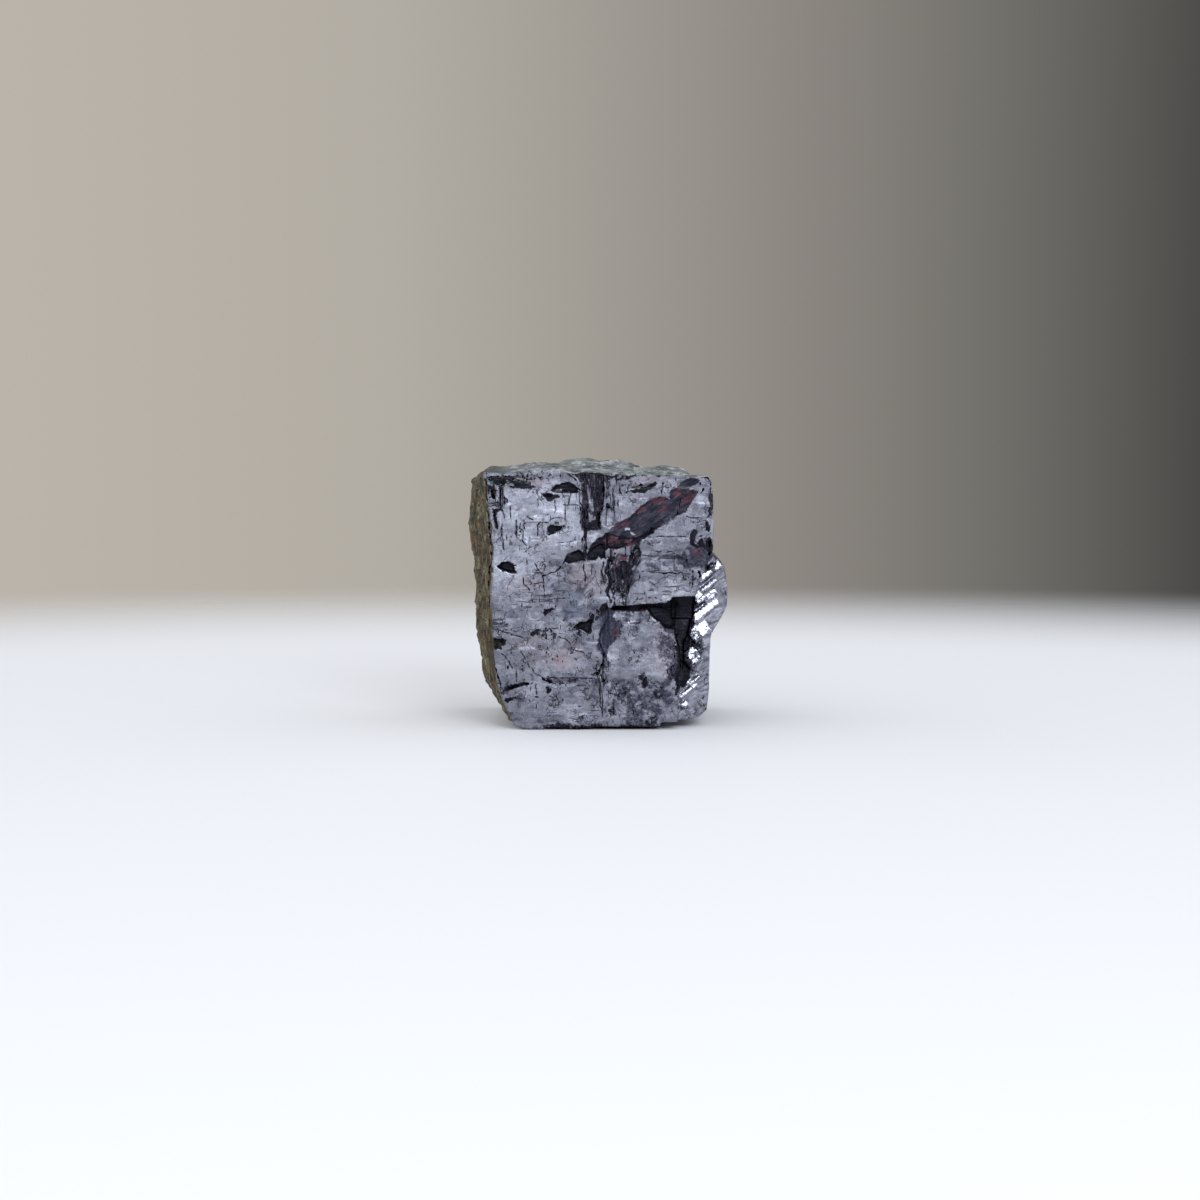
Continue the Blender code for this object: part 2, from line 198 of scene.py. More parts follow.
class CutterNodes(Nodes):
    """Adds nodes to a new tree that cuts many small tools out of the mesh it is given."""

    def __init__(self, name, inputs):
        inputs = {"Geometry": "Geometry", **inputs, "Material": "Material"}
        tree = bpy.data.node_groups.new(name, "GeometryNodeTree")
        super().__init__(tree, inputs, {"Geometry": "Geometry"})

    def any_number(self, low, high, seed):
        """A random number for each point."""
        node = self.add("FunctionNodeRandomValue", {2: low, 3: high, 8: seed}, data_type="FLOAT")
        return node.outputs[1]

    def any_vector(self, low, high, seed):
        node = self.add("FunctionNodeRandomValue", {0: low, 1: high, 8: seed}, data_type="FLOAT_VECTOR")
        return node.outputs[0]

    def scattered(self, share):
        """Points spread over the mesh by a painted share of their density, and the normals there."""
        painted = self.add("GeometryNodeInputNamedAttribute", {"Name": share}, data_type="FLOAT")
        density = self.times(painted.outputs[0], self.given["Per mm2"])
        spread = {"Mesh": self.given["Geometry"], "Density": density, "Seed": self.given["Seed"]}
        points = self.add("GeometryNodeDistributePointsOnFaces", spread)
        return points.outputs["Points"], points.outputs["Normal"]

    def noise(self, place, scale, detail=2.0):
        inputs = {"Vector": place, "W": self.given["Seed"], "Scale": scale, "Detail": detail}
        return self.add("ShaderNodeTexNoise", inputs, noise_dimensions="4D").outputs

    def cube(self):
        return self.add("GeometryNodeMeshCube", {"Size": (1, 1, 1)}).outputs[0]

    def lens(self):
        """A ball of so few sides that it comes to points, eight triangles in all."""
        return self.add("GeometryNodeMeshUVSphere", {"Segments": 4, "Rings": 2, "Radius": 0.5}).outputs[0]

    def in_material(self, geometry):
        node = self.add("GeometryNodeSetMaterial", {"Geometry": geometry, "Material": self.given["Material"]})
        return node.outputs[0]

    def rotation(self, angles):
        return self.add("FunctionNodeEulerToRotation", {0: angles}).outputs[0]

    def cut_out(self, points, tool, **placing):
        """The given mesh with a copy of the tool cut out of it at each point."""
        tools = self.add("GeometryNodeInstanceOnPoints", {"Points": points, "Instance": tool, **placing})
        meshes = {0: self.given["Geometry"], 1: tools.outputs[0]}
        cut = self.add("GeometryNodeMeshBoolean", meshes, operation="DIFFERENCE", solver="MANIFOLD")
        return cut.outputs[0]

    def finish(self, geometry):
        """Ends the tree: real mesh, with the given material wherever the tools left it."""
        material = self.given["Material"]
        real = self.add("GeometryNodeRealizeInstances", {0: geometry}).outputs[0]
        left = self.add("GeometryNodeMaterialSelection", {"Material": material}).outputs[0]
        done = {"Geometry": real, "Selection": left, "Material": material}
        self.link(self.add("GeometryNodeSetMaterial", done).outputs[0], self.result[0])


def settled(obj):
    """The object's mesh with its modifiers worked in and then taken off."""
    mesh = bpy.data.meshes.new_from_object(obj.evaluated_get(bpy.context.evaluated_depsgraph_get()))
    obj.modifiers.clear()
    obj.data = mesh
    return mesh


def work_in(obj, nodes, **values):
    """Runs a tree on the object's mesh, with the tree's inputs set by their identifiers."""
    modifier = obj.modifiers.new(nodes.tree.name, "NODES")
    modifier.node_group = nodes.tree
    for item in nodes.tree.interface.items_tree:
        name = item.name.lower().replace(" ", "_")
        if item.item_type == "SOCKET" and item.in_out == "INPUT" and name in values:
            modifier[item.identifier] = values[name]
    return settled(obj)


galena = bpy.data.materials.new("galena")
fissure = bpy.data.materials.new("fissure")

n = CutterNodes("cleavage_steps", {
    "Per mm2": 0.1, "Shortest": 0.25, "Longest": 2.6, "Shallowest": 0.04, "Deepest": 0.22, "Seed": 1,
})
points, normals = n.scattered("stepped")
facing = n.vector("ABSOLUTE", normals)
chance = n.any_vector((0, 0, 0), (1, 1, 1), 1)
chance = n.stretched(chance, chance)
reach = n.number("SUBTRACT", n.given["Longest"], n.given["Shortest"])
lengths = n.vector("MULTIPLY_ADD", chance, reach, n.given["Shortest"])
depth = n.any_number(n.given["Shallowest"], n.given["Deepest"], 2)
depth = n.times(depth, 2.0)
size = {1: facing, 4: lengths, 5: depth}
size = n.add("ShaderNodeMix", size, data_type="VECTOR", factor_mode="NON_UNIFORM").outputs[1]
n.finish(n.cut_out(points, n.cube(), Scale=size))
work_in(block, n, per_mm2=0.11, seed=7, material=galena)

# --- Terraces and crusts ----------------------------------------------------------------------------
# Now the mesh is made fine. The cleaved sides get their terraces, the weathered left side its ribs
# and the top its lumps; the edges are broken up.

VOXEL = 0.145
# The length and height of the terraces' cells, and how far back from the main face they are calm.
LARGE = (3.4, 2.1)
SMALL = (1.1, 0.8)
FINE = (0.5, 0.4)
CALM_FRONT = 3.5
# How far each form moves the surface.
SWELL = 0.05
GRAIN = 0.010
FURROWS = 0.26
RIND_CRUMBS = 0.16
TOP_CRUMBS = 0.10
LUMPS = 0.26
LEFT_BORDER = 0.30
TOP_BORDER = 0.22
FOOT_CHIPS = 0.30


def hashed(cells, seed):
    """A repeatable random number from 0 to 1 for each row of whole numbers."""
    h = np.full(len(cells), 40503 + 7919 * seed, np.uint64)
    for column in cells.astype(np.int64).T:
        h = (h ^ column.astype(np.uint64)) * np.uint64(0x9E3779B97F4A7C15)
        h ^= h >> np.uint64(29)
    return (h >> np.uint64(11)).astype(float) / 2.0**53


def bumps(points, seed):
    """Smooth noise from -1 to 1 with about one bump for each unit of length."""
    cell = np.floor(points)
    t = points - cell
    t = t * t * (3 - 2 * t)
    total = np.zeros(len(points))
    for corner in itertools.product((0, 1), repeat=3):
        weight = np.prod(np.where(corner, t, 1 - t), axis=1)
        total += weight * hashed(cell + corner, seed)
    return 2 * total - 1


def layered_bumps(points, seed, layers=4):
    """Bumps of halving size and strength, added up."""
    return sum(bumps(points * 2.0**i, seed + i) / 2.0**i for i in range(layers)) / 1.6


def terraces(u, v, cell_size, seed):
    """A random number for each of the rectangular cells that a cleavage plane breaks into."""
    length, height = cell_size
    wander = np.stack([u / length, v / height, np.zeros(len(u))], axis=1)
    row = np.floor(v / height + 0.35 * bumps(wander * 0.6, seed))
    stretch = 0.6 + 0.9 * hashed(row[:, None], seed + 1)
    shift = 9 * hashed(row[:, None], seed + 2)
    column = np.floor(u / (length * stretch) + shift + 0.25 * bumps(wander * 0.7, seed + 3))
    return hashed(np.stack([row, column], axis=1), seed + 4)


def coordinates(mesh):
    co = np.empty(len(mesh.vertices) * 3, np.float32)
    mesh.vertices.foreach_get("co", co)
    return co.reshape(-1, 3).astype(float)


def vertex_normals(mesh):
    normals = np.empty(len(mesh.vertices) * 3, np.float32)
    mesh.vertex_normals.foreach_get("vector", normals)
    return normals.reshape(-1, 3).astype(float)


remesh = block.modifiers.new("even_grain", "REMESH")
remesh.mode = "VOXEL"
remesh.voxel_size = VOXEL
stone = settled(block)

co = coordinates(stone)
normal = vertex_normals(stone)
x, y, z = co.T
rind, top, broken, cleaved = skins(co, normal)

# Terraces: each cleaved side is lowered, cell by cell, along its own normal.
for axis, (across, along) in enumerate([(1, 2), (0, 2), (0, 1)]):
    faces_it = smoothstep(0.80, 0.97, np.abs(normal[:, axis])) * cleaved
    u, v = co[:, across], co[:, along]
    patchy = smoothstep(-0.25, 0.35, bumps(co * 0.22, 31 + axis))
    large = terraces(u, v, LARGE, 11 + 20 * axis)
    small = terraces(u, v, SMALL, 12 + 20 * axis)
    fine = terraces(u, v, FINE, 13 + 20 * axis)
    calm = np.where(y < FRONT + CALM_FRONT, 0.2, 1.0)
    sunk = (0.06 + 0.10 * calm) * large**2 + calm * patchy * (0.07 * (small > 0.62) + 0.04 * (fine > 0.70))
    co[:, axis] -= np.sign(normal[:, axis]) * faces_it * sunk

# A slow swell, so that no side is a perfect plane, and a fine grain, which keeps the mesh even.
co += normal * (cleaved * (SWELL * bumps(co * 0.16, 5) + GRAIN * bumps(co * 3.1, 7)))[:, None]

# The rind: weathered ribs and furrows that run down the side. The top: a lumpy crust.
furrows = layered_bumps(co * (1.1, 1.3, 0.32), 51, 3)
crumbs = layered_bumps(co * 1.7, 61, 3)
co += normal * (rind * (FURROWS * furrows + RIND_CRUMBS * crumbs))[:, None]
lumps = layered_bumps(co * 0.8, 71, 4)
co += normal * (top * (LUMPS * lumps + TOP_CRUMBS * np.abs(crumbs)))[:, None]
# The front face's border with the rind and with the top is ragged.
at_front = smoothstep(0.9, 0.0, y - FRONT)
at_left = at_front * smoothstep(-10.6, -11.6, x) * smoothstep(2.0, 5.0, z)
co[:, 0] += at_left * (LEFT_BORDER * layered_bumps(co * (0.3, 0.3, 1.1), 81, 3) + 0.05)
at_top = at_front * smoothstep(27.2, 28.0, z)
co[:, 2] += at_top * TOP_BORDER * layered_bumps(co * (1.3, 0.3, 0.3), 91, 3)
# The edge it stands on is chipped.
at_foot = at_front * smoothstep(0.8, 0.0, z)
co[:, 2] += at_foot * FOOT_CHIPS * np.abs(layered_bumps(co * (0.9, 0.3, 0.3), 95, 3))
stone.vertices.foreach_set("co", co.astype(np.float32).ravel())
stone.update()

# --- Nicks ------------------------------------------------------------------------------------------
# Short open splits that run square with the cleavage. Each is a thin lens, pressed into the surface.

nicks = n = CutterNodes("nicks", {
    "Per mm2": 0.5, "Shortest": 0.2, "Longest": 1.1, "Narrowest": 0.04, "Widest": 0.15, "Depth": 0.35,
    "Upright share": 0.7, "Seed": 1,
})
points, normals = n.scattered("nicked")
facing = n.vector("ABSOLUTE", normals)
chance = n.any_number(0.0, 1.0, 1)
chance = n.number("POWER", chance, 2.0)
length = n.between(chance, n.given["Shortest"], n.given["Longest"])
width = n.any_number(n.given["Narrowest"], n.given["Widest"], 2)
upright = n.number("LESS_THAN", n.any_number(0.0, 1.0, 3), n.given["Upright share"])
sideways = n.vector("ABSOLUTE", n.vector("CROSS_PRODUCT", normals, (0, 0, 1)))
run = n.partway(upright, sideways, (0, 0, 1))
rest = n.vector("SUBTRACT", n.vector("SUBTRACT", (1, 1, 1), facing), run)
size = n.stretched(run, length)
size = n.vector("MULTIPLY_ADD", facing, n.times(n.given["Depth"], 2.0), size)
size = n.vector("MULTIPLY_ADD", n.vector("ABSOLUTE", rest), width, size)
turned = n.rotation(n.any_vector((-0.10, -0.10, -0.10), (0.10, 0.10, 0.10), 4))
n.finish(n.cut_out(points, n.in_material(n.lens()), Rotation=turned, Scale=size))

# --- Chips on the broken corner ---------------------------------------------------------------------
# The knocked-off corner ends in slanting crystal steps. Their edges are chipped: small cubes, turned
# the same way as the steps, are pressed into them.

STEP_FACING = np.array([0.135, -0.963, 0.234])
STEP_SLANT = math.radians(39)
STEP_TILT = math.radians(31)

chips = n = CutterNodes("chips", {"Per mm2": 1.0, "Shortest": 0.10, "Longest": 0.50, "Seed": 1})
points, _ = n.scattered("chipped")
chance = n.any_number(0.0, 1.0, 1)
chance = n.times(chance, chance)
length = n.between(chance, n.given["Shortest"], n.given["Longest"])
size = n.stretched(n.any_vector((0.8, 0.4, 0.3), (1.5, 0.9, 0.7), 2), length)
lean = Matrix.Rotation(-STEP_SLANT, 4, "Y") @ Matrix.Rotation(STEP_TILT, 4, "X").inverted()
wobble = n.any_vector((-0.5, -0.8, -0.5), (0.5, 0.8, 0.5), 3)
turned = n.rotation(n.vector("ADD", tuple(lean.to_euler()), wobble))
n.finish(n.cut_out(points, n.in_material(n.cube()), Rotation=turned, Scale=size))

# --- Cracks -----------------------------------------------------------------------------------------
# The longer cracks of the main face, which run in jogs along the cleavage. Each is its width, then the
# x and z of its corners. A tree presses a chain of thin lenses into the stone along it.

CRACKS = {
    "corner_maze": [
        (0.33, -11.75, 27.05, -11.55, 25.95), (0.15, -10.85, 27.2, -10.75, 26, -10.75, 24.8),
        (0.12, -10.65, 24.75, -11.55, 24.6, -11.45, 24, -11.25, 23, -11.15, 22.65),
        (0.09, -10.55, 24.7, -10.4, 23.75), (0.09, -9.65, 24.9, -9.6, 23.75),
        (0.09, -9.05, 23.5, -9.05, 21.8),
        (0.12, -8.6, 23.1, -8.7, 22.6, -8.55, 22.45, -8.3, 22.3, -8.3, 20.95, -7.95, 20.7),
        (0.12, -10.65, 22.6, -10.6, 22.1, -10.5, 21, -10.45, 20.4),
        (0.09, -10.65, 21.65, -11.1, 21.45, -11.15, 21.25), (0.12, -12.15, 28.25, -10.95, 28.4),
        (0.12, -12.15, 28, -10.95, 28.05), (0.15, -10.65, 28.45, -9.85, 28.3),
        (0.15, -9.5, 28.05, -8.15, 27.95), (0.15, -9.85, 27.35, -9.35, 27.05),
        (0.15, -10.35, 26, -10.3, 25), (0.09, -12.15, 25.35, -10.95, 25.5),
        (0.09, -12.1, 25.1, -10.95, 25.2), (0.09, -7.8, 23.85, -7.3, 23.65),
        (0.09, -8.15, 23.5, -8.15, 22.6), (0.09, -6.65, 21.7, -6.65, 23, -6.35, 23.2, -5.55, 23.2),
    ],
    "upright_bundle": [
        (0.09, -4.75, 25.95, -4.7, 25.5, -4.65, 24.5), (0.09, -2.95, 26.45, -3.2, 25.8, -3.2, 25.3),
        (0.09, -3.55, 25.2, -3.6, 23.65), (0.06, -3.65, 25.2, -2.15, 25.15),
        (0.09, -5.25, 23.65, -4.2, 23.8), (0.12, -1.75, 25.35, -1.65, 24.6, -1.55, 24),
        (0.15, -1, 25.7, -1.1, 23.85),
        (0.24, 0.65, 28.2, 0.75, 26.45, 0.55, 24.75, 0.25, 24.5, 0.2, 22.75),
        (0.12, -2.05, 27, -1.45, 26.65), (0.15, -3.35, 28.8, -2.3, 27.95),
        (0.15, -1.3, 22.65, -1.35, 21.7, -1.25, 21.2, -1.2, 20.3), (0.09, -1.8, 23.35, -1.65, 22.65),
        (0.12, -1.55, 21.65, -1.75, 21.15, -1.75, 20.3), (0.15, 2.45, 27.05, 2.6, 26.45),
        (0.09, -2.4, 21.65, -2.55, 21.15, -3.3, 21.1),
    ],
    "below_the_bundle": [
        (0.09, -1.55, 18.6, -1.55, 18, -1.25, 17.1), (0.15, 0.65, 19.8, 0.75, 19.3),
        (0.12, 0.65, 18.75, 0.65, 18.2), (0.15, 1.25, 19.4, 1.3, 17.9), (0.09, 1.55, 20.3, 1.6, 19.2),
        (0.09, 3.15, 20.6, 3.15, 19.45), (0.09, 3.75, 20.55, 3.75, 19.45),
        (0.09, 0.45, 17.8, 0.55, 17.2, 0.8, 16.55),
    ],
    "right_edge": [
        (0.11, 7.3, 27.55, 7.25, 27.2, 7.1, 26.25), (0.07, 7.35, 27.2, 8, 27.1),
        (0.28, 11.75, 26.9, 11.45, 26.45), (0.11, 11.65, 28.2, 12.3, 28.25, 12.65, 27.55),
        (0.24, 12.35, 24.9, 12.75, 24.85), (0.07, 10, 23.85, 11.75, 23.75),
        (0.07, 11.95, 23.65, 12.8, 24.35), (0.11, 12.1, 23.35, 12.3, 22.8, 12.3, 22.3),
        (0.37, 12.5, 21.2, 12.45, 20.3, 12.65, 19.5), (0.07, 6.55, 21.75, 7.5, 21.65, 9.9, 21.65),
        (0.07, 6.3, 20.05, 7.15, 20.05), (0.07, 7.75, 20, 8.45, 20),
        (0.09, 6.75, 19.15, 7.4, 19.5, 8.1, 19.7, 8.95, 19.7), (0.07, 5.05, 17.85, 6.2, 17.8, 6.8, 17.9),
        (0.09, 7.4, 17.65, 9.55, 17.6, 10.2, 17.5), (0.33, 11.3, 17.8, 11.55, 17.1, 11.6, 16.4),
        (0.09, 10.75, 17, 10.55, 15.9), (0.07, 4.75, 17.3, 4.6, 16.8),
    ],
    "middle_left": [
        (0.09, -6.95, 18.7, -6.5, 17.95, -6.05, 17.3, -6, 16.8),
        (0.13, -3.6, 18.9, -4.2, 18.1, -5.1, 17.6, -5.9, 17.3),
        (0.09, -8.25, 17, -8.2, 16.5, -7.65, 15.8), (0.07, -5.95, 16.7, -5.9, 15.1),
        (0.07, -7.05, 16.4, -5.95, 16.55), (0.07, -5.75, 14.65, -3.65, 14.8),
        (0.11, -5.85, 13.25, -5.55, 13.6, -4.85, 13.6),
    ],
    "ledge_line": [
        (0.28, 1.1, 13.7, 1.85, 13.6, 2.6, 13.75, 3.55, 13.85, 4.25, 14, 5.35, 14.15),
    ],
    "lower_left": [
        (0.07, -11.7, 11.45, -10.05, 10.9, -8.2, 10.35, -7.55, 10.4), (0.05, -11.8, 11.9, -10.05, 11.9),
        (0.11, -7.45, 10.8, -6.65, 11.35), (0.07, -6.65, 11.35, -6.1, 11.05, -5.25, 11.4, -4.35, 11.4),
        (0.07, -5.8, 11.05, -5.7, 10.35), (0.11, -8.5, 8.8, -8.1, 8.1), (0.09, -7.85, 7.7, -7.6, 7.15),
        (0.12, -7.3, 6.9, -6.95, 6.4), (0.08, -6.7, 6.2, -6, 5.8),
        (0.07, -10.6, 8.55, -9.95, 7.8, -9.5, 7), (0.07, -9.05, 6.7, -9.05, 5.5),
        (0.11, -10.5, 3.3, -9.65, 3.6), (0.07, -6.9, 5.1, -6.8, 4.05),
        (0.09, -4.2, 10.5, -3.45, 10.2, -3.1, 9.8, -2.9, 9.1, -1.6, 8.75),
        (0.07, -5.3, 5.9, -2.55, 5.9, -0.6, 5.8), (0.11, -3.35, 5.55, -2.45, 5.6),
        (0.07, -4.4, 5.7, -3.95, 5.25), (0.07, -2.1, 5.05, -1.35, 5.1),
        (0.24, -6.1, 5.9, -5.75, 5.55, -5.1, 5.35),
    ],
    "lower_middle": [
        (0.36, 0.7, 8.45, 0.6, 7.55, 0.25, 6.7, -0.05, 6.25), (0.24, 0.4, 6.1, 0.95, 5.35),
        (0.07, 0.3, 5.35, 0.3, 2.95, 0.6, 1.55), (0.11, 1.8, 3, 1.8, 1.8), (0.28, 5.25, 5.8, 5.25, 4.9),
        (0.09, -0.8, 12.45, -0.8, 13.1),
    ],
    "spots": [
        (0.11, -8.45, 14.2, -8.45, 13.9), (0.09, -3, 14.45, -3, 14.35),
        (0.2, -1.35, 17.05, -1.35, 16.65), (0.09, -0.6, 15.85, -0.6, 15.65),
        (0.09, 0.45, 15.55, 0.45, 15.35), (0.09, 1, 16.9, 1, 16.7), (0.24, -5.5, 4.8, -5.5, 4.25),
        (0.11, 3.7, 25.8, 3.7, 25.6), (0.11, 11.4, 27.55, 11.4, 27.35), (0.11, -5.7, 8.65, -5.7, 8.45),
        (0.09, -5.7, 7.75, -5.7, 7.6), (0.09, -7.45, 8.55, -7.45, 8.4), (0.09, -0.8, 3.8, -0.8, 3.65),
        (0.09, -3.95, 3.45, -3.95, 3.25), (0.11, -0.35, 2.8, -0.35, 2.55),
        (0.11, -12.3, 25.85, -12.3, 25.6),
    ],
    "rind_contact": [
        (0.2, -12.4, 27.6, -12.3, 25.4, -12.1, 23.6, -12.06, 22.1, -11.82, 20.6, -11.88, 19.3, -11.69,
         19, -11.88, 18.5, -12.12, 17.9),
        (0.18, -12.12, 17.9, -12.18, 16.7, -12.24, 15.8, -12.06, 14.9, -12.06, 13.2, -12, 11.6),
        (0.16, -11.6, 9, -11.5, 7.4, -11.1, 6, -10.7, 4.6),
    ],
}
MIDDLE = (0.5, 0.5, 0.5)
BEFORE_FACE = 1.0
LANDING_REACH = 2.5

routes = bpy.data.curves.new("crack_routes", "CURVE")
routes.dimensions = "3D"
for width, *route in itertools.chain(*CRACKS.values()):
    spline = routes.splines.new("POLY")
    spline.points.add(len(route) // 2 - 1)
    for point, route_x, route_z in zip(spline.points, route[::2], route[1::2]):
        point.co = (route_x, route_z, 0, 1)
        point.radius = width
crack_routes = bpy.data.objects.new("crack_routes", routes)
scene.collection.objects.link(crack_routes)

cracks = n = CutterNodes("cracks", {
    "Routes": "Object", "Piece": 0.24, "Spacing": 0.12, "Wander": 0.42, "Jog": 0.16, "Depth": 2.2,
    "Seed": 1.0,
})
path = n.add("GeometryNodeObjectInfo", {"Object": n.given["Routes"]}).outputs["Geometry"]
path = {"Curve": path, "Length": n.given["Piece"]}
path = n.add("GeometryNodeResampleCurve", path, mode="LENGTH").outputs[0]
place = n.add("GeometryNodeInputPosition").outputs[0]
stir = n.vector("SUBTRACT", n.noise(place, 1.9, 3.0)["Color"], MIDDLE)
stir = n.stretched(stir, (1, 1, 0))
strayed = n.vector("MULTIPLY_ADD", stir, n.given["Wander"], place)
jogged = n.vector("SNAP", strayed, n.given["Jog"])
place = n.partway(0.6, strayed, jogged)
path = n.add("GeometryNodeSetPosition", {"Geometry": path, "Position": place}).outputs[0]
spread = n.add("GeometryNodeCurveToPoints", {"Curve": path, "Length": n.given["Spacing"]}, mode="LENGTH")
across, up, _ = n.apart(spread.outputs["Tangent"])
lie = n.times(n.number("ARCTAN2", up, across), -1.0)
# The sheet it was drawn on is stood up in front of the face, and the points are let down onto it.
place = n.add("GeometryNodeInputPosition").outputs[0]
across, up, _ = n.apart(place)
ray = {"Target Geometry": n.given["Geometry"], "Source Position": n.along(across, FRONT - BEFORE_FACE, up)}
ray = {**ray, "Ray Direction": (0, 1, 0), "Ray Length": LANDING_REACH}
landed = n.add("GeometryNodeRaycast", ray).outputs["Hit Position"]
points = {"Geometry": spread.outputs["Points"], "Position": landed}
points = n.add("GeometryNodeSetPosition", points).outputs[0]
width = n.add("GeometryNodeInputRadius").outputs[0]
width = n.times(width, n.between(n.noise(place, 3.4)["Fac"], 0.10, 2.2, 0.44, 0.66))
size = n.along(n.times(n.given["Spacing"], 4.0), n.times(width, n.given["Depth"]), width)
turned = n.rotation(n.along(y=lie))
cut = n.cut_out(points, n.in_material(n.lens()), Rotation=turned, Scale=size)
# How far each point is from a crack, for the dark margin along its lips: dark crumbs and painted shade.
beside = n.add("GeometryNodeProximity", {0: points}, target_element="POINTS").outputs["Distance"]
beside = n.add("GeometryNodeStoreNamedAttribute", {0: cut, 2: "crack", 3: beside}, data_type="FLOAT")
n.finish(beside.outputs[0])

# --- Light hand on the far sides, then all the cuts -------------------------------------------------
# The face that is looked at, the rind beside it and the broken corner keep their fine mesh. The
# other sides are thinned, most where they are flat.

KEPT_TRIANGLES = 132_000
FINE_AS_FAR_AS = {"face": -5.7, "rind": -6.0, "top": -8.0}
UNEVEN = 0.6
SPOTS_REACH = 6.0
NICKED_ALL_OVER = 0.09
NICKED_IN_FRONT = 0.03
CHIPPED_BESIDE_FACETS = 0.06

near = (-normal[:, 1] > 0.7) & (y < FINE_AS_FAR_AS["face"]) | (broken > 0.4)
near |= (rind > 0.4) & (y < FINE_AS_FAR_AS["rind"]) | (top > 0.4) & (y < FINE_AS_FAR_AS["top"])
group = block.vertex_groups.new(name="far_side")
for index in np.nonzero(~near)[0].tolist():
    group.add([index], 1.0, "REPLACE")
thin = block.modifiers.new("thin", "DECIMATE")
thin.ratio = KEPT_TRIANGLES / (2 * len(stone.polygons))
thin.vertex_group = group.name
stone = settled(block)
block.vertex_groups.clear()
stone.materials.clear()
stone.materials.append(galena)


def soft_spot(co, spot_x, spot_z, radius_x, radius_z):
    """1 in the middle of an oval on the main face, fading to 0 at its edge."""
    away = np.hypot((co[:, 0] - spot_x) / radius_x, (co[:, 2] - spot_z) / radius_z)
    return smoothstep(1.25, 0.45, away) * (co[:, 1] < FRONT + SPOTS_REACH)


def spots(co, places):
    """The strongest of several soft ovals at each point, with their outlines made uneven."""
    uneven = np.stack([layered_bumps(co * 0.9, seed, 3) for seed in (121, 131, 141)], axis=1)
    co = co + UNEVEN * uneven * (1, 0, 1)
    return np.max([strength * soft_spot(co, *oval) for *oval, strength in places], axis=0)


# Dark breakage on the main face: a band of upright streaks and a crumbled patch, as outlines with the
# x and z of each corner, and soft ovals of upright streaks, crumbs and level lines, as (x, z, radius
# in x, radius in z, strength).

STREAKED = [
    [-3.31, 29, 0.81, 29.11, 0.75, 27.89, 0.69, 25.66, 0.47, 24, 0.36, 23, -0.42, 23.11, -0.58, 24.78,
     -0.86, 26.33, -1.03, 27.11, -1.53, 27.55, -2.31, 28],
    [-1.81, 27.66, -1.14, 27.44, -1.08, 25.66, -0.92, 24, -1.03, 22.33, -1.19, 20.66, -1.14, 19.33,
     -1.64, 19.22, -1.53, 21.22, -1.69, 22.89, -1.86, 24.55, -1.81, 25.89],
]
CRUMBLY = [
    [1.25, 18.78, 2.03, 19.33, 2.92, 19.44, 3.58, 20, 4.69, 19.89, 4.92, 19, 4.36, 17.55, 3.69, 16.11,
     3.58, 14.78, 2.69, 14.89, 2.36, 13.89, 1.47, 14.55, 1.31, 16.78],
]
UPRIGHT_LINES = [
    (-11.7, 26.7, 0.56, 1, 0.62), (-10.6, 26, 0.56, 1.67, 0.66), (-11.2, 25.3, 1, 1.11, 0.4),
    (-2.2, 25.7, 0.67, 2.22, 0.3), (1.7, 25.3, 1, 1.67, 0.55), (1.2, 27.4, 0.56, 1.11, 0.55),
    (2, 27.2, 0.89, 0.89, 0.35), (1.2, 17.1, 0.27, 4, 1), (2.4, 16.8, 0.89, 2.22, 0.72),
    (4.5, 20.2, 0.38, 1, 1), (3.4, 16.4, 0.33, 1.78, 0.8), (1.8, 14.1, 0.22, 1.11, 0.85),
    (2.9, 14.2, 0.33, 1, 0.6), (-12.3, 27.6, 0.56, 1, 0.6), (12.7, 25.7, 0.33, 2.44, 0.75),
    (-10.9, 23.4, 1.56, 1.56, 0.28), (-9, 21.8, 1.11, 2.22, 0.38), (-4.2, 23.4, 2.67, 2, 0.14),
    (0.6, 4.6, 0.56, 4.44, 0.5), (-0.4, 17.3, 0.33, 1.33, 0.4), (0.6, 17.3, 0.33, 1.56, 0.5),
    (9.1, 17.1, 1.56, 0.89, 0.3),
]
